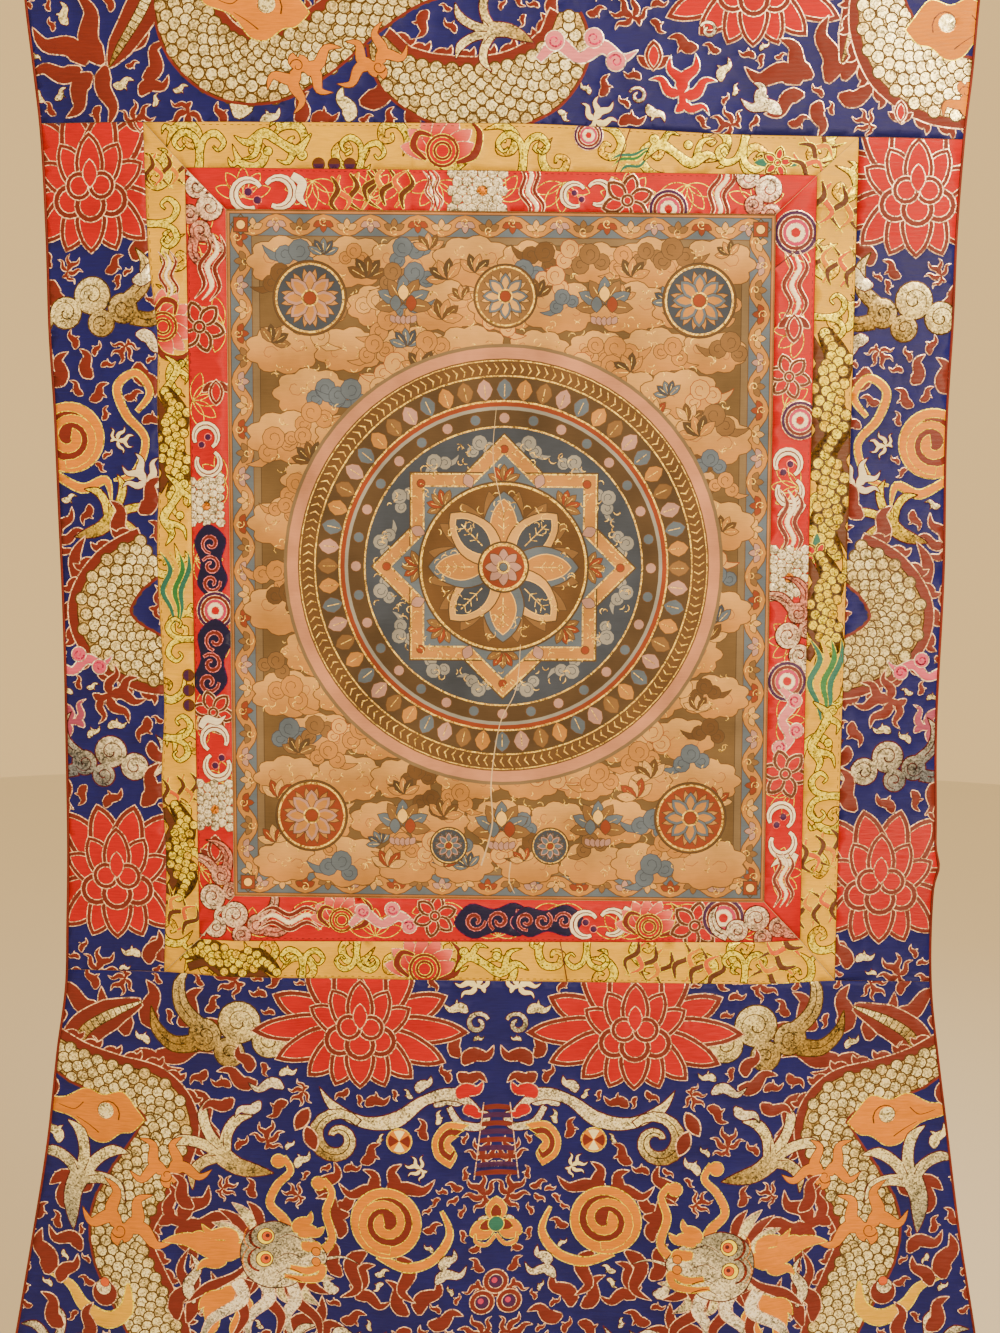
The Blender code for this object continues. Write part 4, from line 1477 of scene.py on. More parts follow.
def lemon_scroll(pen):
    """A stem that parts into two broad curls of bright thread."""
    join_up(pen, [
        ribbon(sweep([(1, 22), (2, 8), (-2, -6), (-13, -11), (-21, -3), (-16, 4), (-11, 0)], 4),
               (9, 8, 7, 8, 6, 4, 3)),
        ribbon(sweep([(2, 10), (6, -5), (16, -10), (24, -2), (19, 5), (14, 1)], 4),
               (7, 7, 8, 6, 4, 3)),
    ], LEMON, OLIVE, 0.8, METAL)


def lemon_curl(pen):
    """One fat curl of bright thread with a leaf at its back."""
    join_up(pen, [
        ribbon(sweep([(-15, 10), (-8, -6), (6, -10), (14, 0), (8, 9), (1, 4), (5, -1)], 4),
               (1, 8, 9, 8, 7, 5, 3)),
        ribbon(sweep([(-8, -4), (-16, -8), (-19, -1)], 4), (6, 6, 0.6)),
    ], Fade(LEMON, YELLOW, (0, -12), (0, 14)), OLIVE, 0.8, METAL)


def petal_lines(pen):
    """Petals drawn only in fine bright lines."""
    for i in range(5):
        petal_edge = lens(26, 11)
        pen.at(0, 11, turn=-72 + 36 * i).line(petal_edge + petal_edge[:1], 0.6, LEMON)


def dark_flame(pen):
    """Thin tongues of flame, dark and orange by turns."""
    for x, bend, dye in ((-17, -5, BROWN), (-9, 4, ORANGE), (-1, -5, BROWN), (8, 5, EYE), (16, -4, BROWN)):
        stroke(pen, [(x, 18), (x + bend, 6), (x - bend, -6), (x + 1.6 * bend, -19)], (2, 6, 5, 0.4), dye,
               LEMON, 0.45)


def lemon_wave(pen):
    """Broad flowing lobes in bright thread."""
    join_up(pen, [
        ribbon(sweep([(-34, 10), (-22, -4), (-8, 2), (6, 10), (20, 2), (32, 8)], 4),
               (2, 10, 8, 10, 8, 1)),
        ribbon(sweep([(-20, -2), (-14, -14), (-4, -12)], 4), (8, 6, 1)),
        ribbon(sweep([(10, 8), (14, -8), (26, -12)], 4), (8, 6, 1)),
        circle(-26, -8, 5, 12), circle(3, -5, 4.5, 12),
    ], LEMON, OLIVE, 0.8, METAL)
    pen.line(spiral(-26, -8, 3, 0.8, 0, 1.0, 10), 0.5, OLIVE)


def lemon_body(pen):
    """A stretch of yellow scales along a brown stripe."""
    line = sweep([(-46, 8), (-22, -4), (2, 5), (26, -5), (48, 6)], 5)
    back = ribbon(line, (24, 24))[:len(line)]
    band(pen, back, (9, 9), BROWN, OLIVE)
    band(pen, line, (10, 22, 24, 22, 8), OLIVE, weave=METAL)
    scales(pen, line, (10, 22, 24, 22, 8), 0.9, LEMON, YELLOW)


def halved_ovals(pen):
    """Three half ovals in a row, dark above and light below."""
    for x in (-14, 0, 14):
        pen.fill(circle(x, 0, 6, 16), BROWN, OLIVE, 0.5)
        pen.loop(arc(x, 0, 4.6, 0, 180, 8), PURPLE)


def flower_sprig(pen):
    """A small red flower between two leaves."""
    for turn in (-90, 90):
        pen.turned(turn).fill(lens(22, 9), TEAL, LEMON, 0.6)
    petal_flower(pen.at(0, 0, 0.62), 5, LEMON)


# The hand stitches, as shares of a strip's length and width.
STITCH_LENGTH = 0.0042
STITCH_INSET = 0.06


def strip_pen(layers, outer, inner, share, across):
    """A pen at a place along a strip, with its own right running along the strip."""
    near, far = outer(share), inner(share)
    ahead = outer(min(share + 0.02, 1.0)), outer(max(share - 0.02, 0.0))
    turn = math.degrees(math.atan2(ahead[0].down - ahead[1].down, ahead[0].x - ahead[1].x))
    place = between(near, far, across)
    return Pen(layers).at(*in_mm(place), turn=turn)


def stitch_row(layers, outer, inner, colour):
    """Small hand stitches that hold the turned edge of a strip."""
    pen = Pen(layers)
    for i in range(8, 92):
        shares = i / 100, i / 100 + STITCH_LENGTH
        start, end = (between(outer(share), inner(share), STITCH_INSET) for share in shares)
        pen.line([in_mm(start), in_mm(end)], 0.45, colour, SILK)


def join_line(layers, outer, inner, share):
    """The seam where two lengths of silk are pieced together, on the strips that have one."""
    if share is None:
        return
    near, far = outer(share), inner(share)
    Pen(layers).line([in_mm(near), in_mm(far)], 0.9, DARK_MAROON, GROUND)


# The figures along each strip. A row gives the figure, its place as a share of the length, and its
# size. A turn in degrees follows where it is turned, and then a share of the width where it is off
# the middle.
RED_PLAN = {
    "top": (
        (white_hook, 0.09, 0.95, 0, 0.55), (dark_flame, 0.245, 0.8, 170, 0.6),
        (dark_flame, 0.315, 0.8, 10, 0.4), (wave_stripes, 0.385, 0.5, 80), (cell_cluster, 0.46, 0.95),
        (wave_stripes, 0.55, 0.7, 80), (white_hook, 0.64, 0.75), (petal_flower, 0.72, 0.8, 0, 0.7),
        (arc_fan, 0.80, 0.8, 0, 0.9), (wave_stripes, 0.87, 0.75, 100), (white_cloud, 0.95, 0.7, 60),
    ),
    "left": (
        (white_cloud, 0.03, 0.7), (wave_stripes, 0.10, 0.8, 10, 0.6), (petal_flower, 0.19, 0.8, 0, 0.3),
        (bud, 0.26, 0.8, 90, 0.7), (white_hook, 0.345, 0.8), (cell_cluster, 0.42, 0.8, 0, 0.4),
        (navy_scroll, 0.50, 0.9), (arc_fan, 0.57, 0.8, 0, 0.6), (navy_scroll, 0.635, 1.0, 10),
        (petal_flower, 0.71, 0.7), (white_hook, 0.77, 0.85, 180), (cell_cluster, 0.84, 0.85),
        (bud, 0.91, 0.9, -90), (white_cloud, 0.965, 0.7, 180),
    ),
    "right": (
        (arc_fan, 0.05, 0.9), (wave_stripes, 0.12, 0.8), (bud, 0.17, 0.9, 90),
        (petal_flower, 0.24, 0.7, 0, 0.6), (arc_fan, 0.305, 0.8, 0, 0.3), (white_hook, 0.375, 0.85),
        (wave_stripes, 0.44, 0.8), (cell_cluster, 0.51, 0.9), (white_cloud, 0.59, 0.7, 180, 0.4),
        (arc_fan, 0.66, 0.85), (pink_scroll, 0.72, 0.8), (petal_flower, 0.79, 0.8),
        (white_hook, 0.865, 0.85), (wave_stripes, 0.94, 0.7),
    ),
    "bottom": (
        (white_cloud, 0.04, 0.72), (wave_stripes, 0.13, 0.8), (fan_flower, 0.215, 0.75, 0, 0.6),
        (pink_scroll, 0.30, 0.8), (petal_flower, 0.385, 0.7, 0, 0.6), (navy_scroll, 0.49, 1.0),
        (navy_scroll, 0.585, 0.9, 180), (white_hook, 0.67, 0.85), (fan_flower, 0.76, 0.8),
        (petal_flower, 0.84, 0.8, 0, 0.4), (arc_fan, 0.90, 0.9, 0, 0.6), (white_cloud, 0.96, 0.7),
    ),
}
YELLOW_PLAN = {
    "top": (
        (lemon_scroll, 0.05, 0.8), (lemon_wave, 0.16, 0.85, 180), (halved_ovals, 0.24, 0.8, 0, 0.9),
        (lemon_scroll, 0.29, 0.7, 10, 0.6), (fan_flower, 0.41, 0.95, 0, 0.45), (lemon_scroll, 0.53, 0.8),
        (arc_fan, 0.625, 0.6, 0, 0.2), (plume, 0.70, 0.6, -30, 0.7), (lemon_wave, 0.77, 0.85, 0, 0.45),
        (lemon_scroll, 0.86, 0.8, 190), (flower_sprig, 0.92, 0.8, 0, 0.7), (dark_flame, 0.965, 0.8, 120),
    ),
    "left": (
        (dark_flame, 0.03, 0.7, 90), (lemon_scroll, 0.09, 0.75), (wave_stripes, 0.155, 0.6),
        (fan_flower, 0.215, 0.85, 0, 0.4), (lemon_wave, 0.29, 0.7), (lemon_body, 0.355, 0.85),
        (lemon_wave, 0.44, 0.8), (plume, 0.53, 0.95), (lemon_scroll, 0.60, 0.7, 180),
        (halved_ovals, 0.665, 0.8, 0, 0.8), (lemon_scroll, 0.72, 0.75), (dark_flame, 0.79, 0.7, 80),
        (lemon_body, 0.865, 0.8), (dark_flame, 0.94, 0.75, -60, 0.4),
    ),
    "right": (
        (dark_flame, 0.06, 0.9, 100), (dark_flame, 0.13, 0.8, -80), (lemon_scroll, 0.19, 0.7),
        (lemon_body, 0.285, 1.0), (lemon_body, 0.41, 1.0, 180), (flower_sprig, 0.485, 0.8, 0, 0.8),
        (lemon_body, 0.55, 0.9), (plume, 0.635, 1.1), (lemon_wave, 0.715, 0.85),
        (lemon_scroll, 0.79, 0.8, 180), (dark_flame, 0.86, 0.8, 70), (dark_flame, 0.93, 0.8, -100),
    ),
    "bottom": (
        (lemon_body, 0.08, 0.8, 10), (lemon_scroll, 0.19, 0.7), (lemon_scroll, 0.28, 0.7, 180),
        (fan_flower, 0.38, 0.95, 0, 0.45), (lemon_wave, 0.49, 0.85), (lemon_scroll, 0.64, 0.7, 180, 0.6),
        (dark_flame, 0.73, 0.8, 200), (dark_flame, 0.81, 0.85, 20, 0.4), (lemon_scroll, 0.88, 0.7),
        (dark_flame, 0.94, 0.9, -70, 0.6),
    ),
}

# The joins between two lengths of silk, as shares of the strip's length.
RED_JOINS = {"top": 0.385, "right": 0.075}
YELLOW_JOINS = {"top": 0.68, "bottom": 0.60}


def draw_plan(layers, outer, inner, plan):
    for draw, along, size, *rest in plan:
        turn = rest[0] if rest else 0
        across = rest[1] if len(rest) > 1 else 0.5
        draw(strip_pen(layers, outer, inner, along, across).at(0, 0, size, turn))


def draw_red_strip(side, outer, inner):
    layers = []
    for i in range(9):
        under = strip_pen(layers, outer, inner, 0.07 + 0.107 * i, (0.4, 0.6)[i % 2])
        petal_lines(under.at(0, 0, 0.8, 180 * i))
    draw_plan(layers, outer, inner, RED_PLAN[side])
    join_line(layers, outer, inner, RED_JOINS.get(side))
    stitch_row(layers, outer, inner, DARK_MAROON)
    return layers


def draw_yellow_strip(side, outer, inner):
    layers = []
    for i in range(13):
        under = strip_pen(layers, outer, inner, 0.04 + 0.077 * i, (0.3, 0.72)[i % 2])
        lemon_curl(under.at(0, 0, 0.82, 170 * (i % 2) + 9 * i, i % 3 == 1))
    draw_plan(layers, outer, inner, YELLOW_PLAN[side])
    join_line(layers, outer, inner, YELLOW_JOINS.get(side))
    stitch_row(layers, outer, inner, OLIVE)
    return layers


# Paints of the picture.
OCHRE = srgb(176, 122, 76)
FIELD = srgb(104, 84, 58)
CLOUD_OCHRE = srgb(186, 132, 68)
CLOUD_TAN = srgb(210, 164, 98)
EARTH = srgb(98, 72, 46)
DARK_EARTH = srgb(80, 64, 48)
MOSS = srgb(128, 96, 62)
SLATE = srgb(90, 106, 132)
PALE_SLATE = srgb(144, 146, 150)
DEEP_SLATE = srgb(60, 70, 92)
LILAC = srgb(178, 140, 138)
RING_TAN = srgb(196, 140, 114)
BORDER_GREY = srgb(122, 104, 82)
RUST = srgb(136, 62, 38)
LEAF_GOLD = srgb(250, 206, 110)
FAINT_CURL = srgb(160, 106, 66)
# Pale lines drawn along creases in the painted cloth.
PALE_CREASE_LINE = srgb(206, 186, 156)

# The middle of the medallion, in millimetres.
MIDDLE = (2, 508)


def paint(pen, points, colour, edge=None, width=0.5):
    """A painted shape with a thin outline."""
    if edge is not None:
        pen.loop(points, edge)
        points = inset(points, width / pen.size)
    pen.loop(points, colour)


def leaf(length, width):
    """A small painted leaf: a lens of eight corners."""
    half = width / 2
    side = ((0.62 * half, -length * 0.2), (half, -length * 0.5), (0.66 * half, -length * 0.8))
    return [(0, 0)] + [(-x, y) for x, y in side] + [(0, -length)] + list(side[::-1])


def rings(pen, *pairs):
    """Filled rings, each a radius and a colour; the gold ones are metal."""
    for radius, colour in pairs:
        pen.loop(circle(0, 0, radius, 72), colour, METAL if colour is LEAF_GOLD else SILK)


def painted_cloud(pen, light, dark):
    """Three rolled lobes with a short tail."""
    paint(pen, ribbon(sweep([(6, 5), (16, 8), (25, 4)], 2), (8, 6, 0.5)), light, dark)
    for x, y, radius, first in ((-8, 4, 6.5, 20), (8, 4, 7, 200), (0, -3, 8, 90)):
        paint(pen, circle(x, y, radius, 10), light, dark)
        pen.line(spiral(x, y, radius * 0.62, radius * 0.25, first, 0.8, 8), 0.5, dark, SILK)


def cloud_bank(pen):
    """A wide ochre cloud with a lobed edge and a few faint curls."""
    outline, lobes = [], 9
    for i in range(lobes * 4):
        turn = math.tau * i / (lobes * 4)
        reach = 1.0 + 0.16 * abs(math.sin(turn * lobes / 2))
        outline.append((25 * reach * math.cos(turn), 16 * reach * math.sin(turn)))
    paint(pen, outline, Fade(CLOUD_TAN, CLOUD_OCHRE, (0, -18), (0, 16)), EARTH, 0.7)
    for x, y, first in ((-12, -4, 20), (10, 3, 200)):
        pen.line(spiral(x, y, 6.5, 2, first, 0.8, 8), 0.6, FAINT_CURL, SILK)


def gold_flecks(pen, chance, count, reach):
    """Short strokes and arcs of gold paint."""
    for _ in range(count):
        angle, away = chance.uniform(0, math.tau), reach * math.sqrt(chance.random())
        spot = pen.at(away * math.cos(angle), away * math.sin(angle), 1.0, chance.uniform(0, 360))
        spot.line(arc(0, 0, chance.uniform(1.6, 3.2), 0, chance.uniform(90, 200), 4), (0.3, 0.9, 0.3),
                  LEAF_GOLD)


def leaf_fan(pen, light, dark, count=5):
    """Painted leaves that spread from one foot, each with a gold rib."""
    for i in range(count):
        turned = pen.turned((i - (count - 1) / 2) * 32)
        paint(turned, leaf(15, 7.5), (light, dark)[i % 2], DARK_EARTH)
        turned.line([(0, -2), (0, -11)], 0.45, LEAF_GOLD)


def lotus_roundel(pen, disc, first, second):
    """An eight-petalled lotus in a ringed disc."""
    paint(pen, circle(0, 0, 26, 36), EARTH, DARK_EARTH, 0.8)
    pen.loop(circle(0, 0, 24, 36), LEAF_GOLD, METAL)
    pen.loop(circle(0, 0, 22.6, 36), disc)
    for turned in around(pen, 16, 11):
        paint(turned, leaf(21, 6), second, DARK_EARTH)
    for turned in around(pen, 8):
        paint(turned, leaf(19, 11), first, DARK_EARTH)
        paint(turned.at(0, -3), leaf(13, 6), second)
    pen.loop(circle(0, 0, 6, 18), LEAF_GOLD, METAL)
    paint(pen, circle(0, 0, 4.8, 16), RUST, DARK_EARTH)


def jewel_heap(pen):
    """Three jewels on a small lotus seat, with leaves behind."""
    leaf_fan(pen.at(0, 2, 1.5), MOSS, SLATE, 7)
    for x, y, dye in ((-6, 2, SLATE), (6, 2, RUST), (0, -6, LEAF_GOLD)):
        paint(pen.at(x, y + 6), lens(13, 9), dye, DARK_EARTH)
    for i in range(5):
        paint(pen.at((i - 2) * 5, 10, turn=(i - 2) * 16 + 180), leaf(8, 6), LILAC, EARTH)


def medallion(pen):
    """Rings of beads and petals round an interlaced star and an open lotus."""
    rings(pen, (162, BORDER_GREY), (159.5, RING_TAN), (151.5, EARTH), (150.5, LEAF_GOLD), (149.7, EARTH))
    for turned in around(pen, 150):
        turned.line([(-1.6, -148), (1.2, -144), (-0.6, -140.6)], (0.5, 1.3, 0.5), LEAF_GOLD)
    rings(pen, (139.5, LEAF_GOLD), (138.4, DARK_EARTH))
    for i, turned in enumerate(around(pen, 56)):
        petal_pen = turned.at(0, -121)
        paint(petal_pen, leaf(16.5, 12.5), (SLATE, CLOUD_OCHRE, MOSS, LILAC)[i % 4], EARTH)
        petal_pen.line([(0, -3), (0, -12)], 0.6, LEAF_GOLD)
    rings(pen, (121.5, LEAF_GOLD), (120.2, RUST), (117.0, PALE_SLATE), (114.5, DARK_EARTH))
    for i, turned in enumerate(around(pen, 32)):
        paint(turned.at(0, -108.6), circle(0, 0, 4.2, 10), (LILAC, SLATE)[i % 2], EARTH)
    rings(pen, (102.8, LEAF_GOLD), (101.6, DEEP_SLATE))
    for turned in around(pen, 16, 11.25):
        painted_cloud(turned.at(0, -90).at(0, 0, 0.75), PALE_SLATE, DEEP_SLATE)
    # Two squares make the star. The bands of both are drawn before the lines inside them.
    bands = ((98, DARK_EARTH), (96.6, LEAF_GOLD), (95, CLOUD_OCHRE))
    for squares in (bands, ((84, LEAF_GOLD),), ((82.4, SLATE),)):
        for turn in (0, 45):
            for reach, dye in squares:
                pen.loop(spun(circle(0, 0, reach, 4), 0, 0, turn), dye, METAL if dye is LEAF_GOLD else SILK)
    for first, turned in zip(around(pen, 8), around(pen, 8, 22.5)):
        leaf_fan(first.at(0, -62, 0.9), MOSS, RUST)
        paint(first.at(0, -86), circle(0, 0, 3.4, 10), RUST, DARK_EARTH)
        paint(turned.at(0, -62), leaf(12, 9), LILAC, DARK_EARTH)
    rings(pen, (63, DARK_EARTH), (61.6, LEAF_GOLD), (60, EARTH))
    for turned in around(pen, 16, 11.25):
        paint(turned, lens(57, 17), MOSS, DARK_EARTH)
    for i, turned in enumerate(around(pen, 8)):
        paint(turned, lens(56, 32), (SLATE, CLOUD_TAN)[i % 2], DARK_EARTH, 0.9)
        paint(turned.at(0, -12), lens(38, 20), (CLOUD_OCHRE, DEEP_SLATE)[i % 2], LEAF_GOLD, 0.6)
        turned.line([(0, -22), (0, -44)], 0.8, LEAF_GOLD)
        for y in (-28, -34, -40):
            turned.line([(-4, y - 3), (0, y), (4, y - 3)], 0.6, LEAF_GOLD)
    rings(pen, (19, DARK_EARTH), (17.6, LEAF_GOLD), (15.4, RUST))
    for turned in around(pen, 8):
        paint(turned, lens(14, 8), LILAC, DARK_EARTH)
    pen.loop(circle(0, 0, 5, 16), LEAF_GOLD, METAL)
    paint(pen, circle(0, 0, 3.4, 12), SLATE, DARK_EARTH)


def scroll_border(pen, frame_now):
    """A running vine with leaves between two grey lines."""
    corners = [in_mm(corner) for corner in corners_of(frame_now)]
    for reach, dye in ((2.2, DARK_EARTH), (2.8, SLATE), (18.0, EARTH), (18.6, BORDER_GREY),
                       (23.4, DARK_EARTH), (24.0, FIELD)):
        pen.loop(inset(corners, reach), dye)
    middle = inset(corners, 10.5)
    for i, (x, y) in enumerate(middle):
        ahead = middle[(i + 1) % 4]
        length = math.dist((x, y), ahead)
        turn = math.degrees(math.atan2(ahead[1] - y, ahead[0] - x))
        along = pen.at(x, y, turn=turn)
        count = int(length / 17)
        pitch = length / count
        vine = [(pitch * (j / 4), 4.2 * math.sin(math.pi * j / 4)) for j in range(count * 4 + 1)]
        along.line(vine, 8.4, EARTH, SILK)
        along.line(vine, 7.0, CLOUD_OCHRE, SILK)
        for j in range(count):
            spot = along.at(pitch * (j + 0.5), 3.0 if j % 2 == 0 else -3.0)
            light = (CLOUD_TAN, LILAC, MOSS, RUST)[j % 4]
            for leaf_turn in (-62, 0, 62):
                away = 0 if j % 2 == 0 else 180
                paint(spot.turned(away + leaf_turn), leaf(8.6, 5.6), light, DARK_EARTH)
            spot.line(spiral(0, 0, 3.4, 0.8, 60, 1.1, 10), 0.6, LEAF_GOLD)
    for x, y in middle:
        paint(pen.at(x, y), circle(0, 0, 8, 4), SLATE, DARK_EARTH, 0.8)
        paint(pen.at(x, y, turn=45), circle(0, 0, 8, 4), RUST, DARK_EARTH, 0.8)
        paint(pen.at(x, y), circle(0, 0, 3.6, 12), LEAF_GOLD, DARK_EARTH)


def draw_painting():
    """A worn painted medallion among clouds; a plain traditional pattern of its own."""
    layers = []
    pen = Pen(layers)
    scroll_border(pen, PAINTING_FRAME)
    chance = random.Random(5)
    pairs = ((CLOUD_OCHRE, EARTH), (CLOUD_TAN, RUST), (CLOUD_OCHRE, DARK_EARTH), (MOSS, DARK_EARTH),
             (SLATE, DEEP_SLATE), (CLOUD_TAN, EARTH), (EARTH, DARK_EARTH))
    for row in range(15):
        for i in range(8):
            x, y = -158 + i * 45 + (row % 2) * 22 + chance.uniform(-4, 4), 288 + row * 31.5
            if math.dist((x, y), MIDDLE) > 140 and abs(x) < 172:
                cloud_bank(pen.at(x, y, chance.uniform(0.85, 1.1), 0, chance.random() < 0.5))
    for row in range(28):
        for i in range(18):
            x = -168 + i * 19.5 + (row % 2) * 9.5 + chance.uniform(-3, 3)
            y = 282 + row * 16.6 + chance.uniform(-3, 3)
            away = math.dist((x, y), MIDDLE)
            if away < 150 or abs(x) > 168:
                continue
            light, dark = pairs[chance.randrange(len(pairs))]
            spot = pen.at(x, y, chance.uniform(0.75, 1.1), chance.uniform(-30, 30), chance.random() < 0.5)
            draw = chance.random()
            if draw < 0.34:
                painted_cloud(spot, light, dark)
            elif draw < 0.52:
                leaf_fan(spot, light, dark)
            else:
                gold_flecks(spot, chance, 4, 8)
    for x in (-140, 143):
        for y in (314, 694):
            disc, petals = (DEEP_SLATE, RUST)[y > 500], (LILAC, SLATE)[x > 0]
            lotus_roundel(pen.at(x, y, 1.05), disc, petals, CLOUD_OCHRE)
    lotus_roundel(pen.at(2, 312, 0.9), MOSS, SLATE, CLOUD_TAN)
    for x in (-72, 74):
        jewel_heap(pen.at(x, 316, 0.95))
        jewel_heap(pen.at(x, 700, 0.95))
        lotus_roundel(pen.at(x * 0.52, 716, 0.55), DEEP_SLATE, LILAC, SLATE)
    medallion(pen.at(*MIDDLE))
    jewel_heap(pen.at(2, 702))
    for turned in around(pen.at(*MIDDLE), 24):
        gold_flecks(turned.at(0, -84), chance, 7, 13)
        gold_flecks(turned.at(0, -44), chance, 4, 11)
    # Pale lines along creases in the painted cloth.
    pen.line(sweep([(15, 565), (12, 598), (0, 625), (-6, 668), (-5, 700), (-13, 731)]),
             (0.4, 1.2), PALE_CREASE_LINE, SILK)
    pen.line(sweep([(9, 728), (8, 742), (12, 752)]), (1.0, 0.4), PALE_CREASE_LINE, SILK)
    pen.line(sweep([(-4, 392), (-6, 430), (2, 468)]), (0.3, 0.6), PALE_CREASE_LINE, SILK)
    return [layer._replace(relief=0.0) for layer in layers]


def steps_between(first, last, step=OUTLINE_STEP):
    count = max(int(abs(last - first) / step), 1)
    return [blend(first, last, i / count) for i in range(count)]


def flat_loop(corners):
    """An outline in millimetres, drawn in by half the gap of a seam."""
    return inset([in_mm(corner) for corner in corners], SEAM_GAP / 2 / MM)


def edge_run(side, first, last):
    """Corners down or up the outer edge of a panel."""
    return [Corner(panel_edge(side, down), down) for down in steps_between(first, last)]


def cross_run(line, first, last):
    """Corners across the scroll along a seam or a hem."""
    return [Corner(x, line(x)) for x in steps_between(first, last)]


def top_outline():
    left_end, right_end = top_seam(-EDGE_AT_TOP_SEAM.left), top_seam(EDGE_AT_TOP_SEAM.right)
    return flat_loop(
        cross_run(lambda x: 0.0, panel_edge(-1, 0.0), panel_edge(1, 0.0))
        + edge_run(1, 0.0, right_end)
        + cross_run(top_seam, panel_edge(1, right_end), panel_edge(-1, left_end))
        + edge_run(-1, left_end, 0.0))


def bottom_outline():
    left_end, right_end = (bottom_seam(side * EDGE_AT_BOTTOM_SEAM.left) for side in (-1, 1))
    return flat_loop(
        cross_run(bottom_seam, panel_edge(-1, left_end), panel_edge(1, right_end))
        + edge_run(1, right_end, HEIGHT)
        + cross_run(lambda x: HEIGHT, panel_edge(1, HEIGHT), panel_edge(-1, HEIGHT))
        + edge_run(-1, HEIGHT, left_end))


def side_outline(side):
    seam = left_seam if side < 0 else right_seam
    top = top_seam(panel_edge(side, TOP_SEAM_DOWN))
    bottom = bottom_seam(panel_edge(side, BOTTOM_SEAM_DOWN))
    corners = edge_run(side, top, bottom) + [Corner(panel_edge(side, bottom), bottom)]
    corners += [seam(share) for share in steps_between(1.0, 0.0, SEAM_SHARE_STEP)]
    return flat_loop(corners + [seam(0.0)])


def frame_side(frame_now, side):
    first, last = {
        "top": (frame_now.top_left, frame_now.top_right),
        "bottom": (frame_now.bottom_left, frame_now.bottom_right),
        "left": (frame_now.top_left, frame_now.bottom_left),
        "right": (frame_now.top_right, frame_now.bottom_right),
    }[side]
    return lambda s: between(first, last, s)


def yellow_side(side):
    straight = frame_side(yellow_frame(), side)
    if side == "left":
        return left_seam
    if side == "top":
        return lambda s: Corner(straight(s).x, top_seam(straight(s).x))
    return straight


def strip_outline(outer, inner):
    shares = [i / STRIP_STEPS for i in range(STRIP_STEPS + 1)]
    return flat_loop([outer(s) for s in shares] + [inner(s) for s in reversed(shares)])


def painting_outline():
    ring = corners_of(PAINTING_FRAME)
    corners = []
    for i, start in enumerate(ring):
        end = ring[(i + 1) % 4]
        corners += [between(start, end, step / PAINTING_STEPS) for step in range(PAINTING_STEPS)]
    return flat_loop(corners)


def make_brocade_panels(bindings):
    panels = {
        "top": (top_outline(), draw_top_brocade()),
        "left": (side_outline(-1), draw_side_brocade(-1)),
        "right": (side_outline(1), draw_side_brocade(1)),
        "bottom": (bottom_outline(), draw_bottom_brocade()),
    }
    for side, (outline, layers) in panels.items():
        piece = make_cloth("brocade_cloth_" + side, outline, layers, ROYAL, BROCADE,
                           "brocade_" + side, lining=BACK_CLOTH)


def make_silk_strips():
    for side in ("top", "left", "right", "bottom"):
        red_edge = frame_side(RED_FRAME, side)
        inner_edge = frame_side(PAINTING_FRAME, side)
        for colour, outer, inner, ground, draw, finishes in (
                ("red", red_edge, inner_edge, RED, draw_red_strip, RED_SILK),
                ("yellow", yellow_side(side), red_edge, YELLOW, draw_yellow_strip, YELLOW_SILK)):
            layers = draw(side, outer, inner)
            piece = make_cloth(colour + "_silk_" + side, strip_outline(outer, inner), layers, ground,
                               finishes, colour + "_strip_" + side,
                               lining=BACK_CLOTH)
            start, end = outer(0.0), outer(1.0)


def make_painting():
    piece = make_cloth("painted_cloth", painting_outline(), draw_painting(), OCHRE, PAINTED,
                       "painting", recess=PAINTING_RECESS, lining=BACK_CLOTH)


def make_bindings():
    bindings = []
    for side, word in ((-1, "left"), (1, "right")):
        rows = [HEIGHT * i / BINDING_ROWS for i in range(BINDING_ROWS + 1)]
        outer = [Corner(side_edge(side, down), down) for down in rows]
        inner = [Corner(panel_edge(side, down), down) for down in reversed(rows)]
        piece = make_cloth("binding_cloth_" + word, flat_loop(outer + inner), [], MAROON,
                           BINDING, "edge_binding_" + word,
                           thickness=BINDING_THICKNESS, step=BINDING_STEP)
        bindings.append(piece)
    return bindings


FLOOR_RADIUS = 7.0
FLOOR_DROP = 1.7
FLOOR_TONES = (0.76, 0.80)
CAMERA_PITCH = 4.1
CAMERA_ROLL = 0.4
CAMERA_DISTANCE = 0.95
CAMERA_TARGET_DOWN = 0.5814
CAMERA_FOCAL_PIXELS = 1282
PHOTO_HEIGHT_PIXELS = 1333
BACKDROP = srgb(255, 208, 134)
BACKDROP_STRENGTH = 1.12

Lamp = namedtuple("Lamp", "name place size power colour")
LAMPS = (
    Lamp("key_light", (1.1, -1.35, 0.9), 0.9, 80.0, (1.0, 0.8, 0.52)),
    Lamp("fill_light", (-1.6, -1.6, -0.2), 1.4, 6.0, (1.0, 0.82, 0.56)),
    Lamp("back_light", (0.6, 2.2, 0.6), 1.4, 14.0, (1.0, 0.88, 0.72)),
)
LAMP_TARGET = Vector((0.0, 0.0, -0.6))


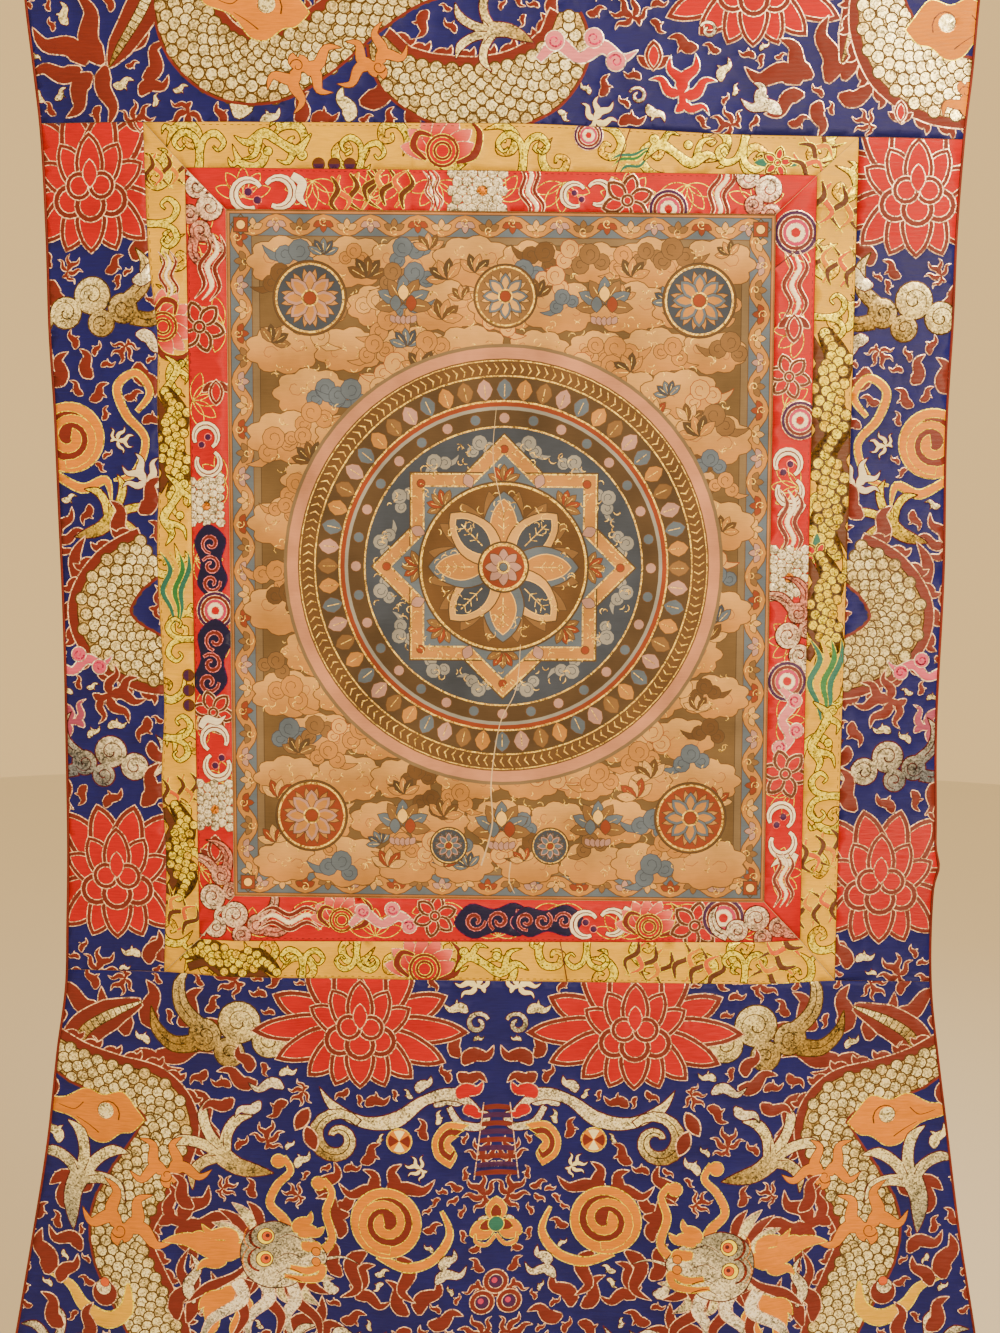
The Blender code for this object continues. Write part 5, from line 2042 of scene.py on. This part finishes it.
def make_floor():
    mesh = bpy.data.meshes.new("studio_floor")
    count = 64
    rim = [(FLOOR_RADIUS * math.cos(math.tau * i / count), FLOOR_RADIUS * math.sin(math.tau * i / count),
            -FLOOR_DROP) for i in range(count)]
    mesh.from_pydata(rim, [], [tuple(range(count))])
    floor = add_object("studio_floor", mesh)
    material, tree, shader = new_material("pale floor")
    speck = add_node(tree, "ShaderNodeTexNoise", (("Scale", 3.0), ("Detail", 3.0)))
    tone = spread_noise(tree, speck, *FLOOR_TONES)
    tree.links.new(tone, shader.inputs["Base Color"])
    shader.inputs["Roughness"].default_value = 0.9
    mesh.materials.append(material)


def make_lights():
    for lamp in LAMPS:
        light = bpy.data.lights.new(lamp.name, "AREA")
        light.shape = "DISK"
        light.size = lamp.size
        light.energy = lamp.power
        light.color = lamp.colour
        holder = add_object(lamp.name, light)
        holder.location = lamp.place
        aim = LAMP_TARGET - Vector(lamp.place)
        holder.rotation_euler = aim.to_track_quat("-Z", "Y").to_euler()
    world = bpy.data.worlds.new("pale studio")
    world.use_nodes = True
    background = world.node_tree.nodes["Background"]
    background.inputs["Color"].default_value = (*BACKDROP, 1.0)
    background.inputs["Strength"].default_value = BACKDROP_STRENGTH
    bpy.context.scene.world = world


def make_camera():
    """The photo's view: close, a little above the middle and tipped down."""
    pitch, roll = math.radians(CAMERA_PITCH), math.radians(CAMERA_ROLL)
    forward = Vector((0.0, math.cos(pitch), -math.sin(pitch)))
    level_up = Vector((0.0, math.sin(pitch), math.cos(pitch)))
    right = Vector((math.cos(roll), 0.0, 0.0)) + level_up * math.sin(roll)
    up = right.cross(forward)
    target = Vector((0.0, 0.0, -CAMERA_TARGET_DOWN))
    optics = bpy.data.cameras.new("camera")
    optics.sensor_width = 36.0
    optics.lens = CAMERA_FOCAL_PIXELS / PHOTO_HEIGHT_PIXELS * optics.sensor_width
    camera = add_object("camera", optics)
    turned = Matrix((right, up, -forward)).transposed()
    camera.matrix_world = Matrix.Translation(target - forward * CAMERA_DISTANCE) @ turned.to_4x4()
    bpy.context.scene.camera = camera


make_brocade_panels(make_bindings())
make_silk_strips()
make_painting()
make_floor()
make_lights()
make_camera()
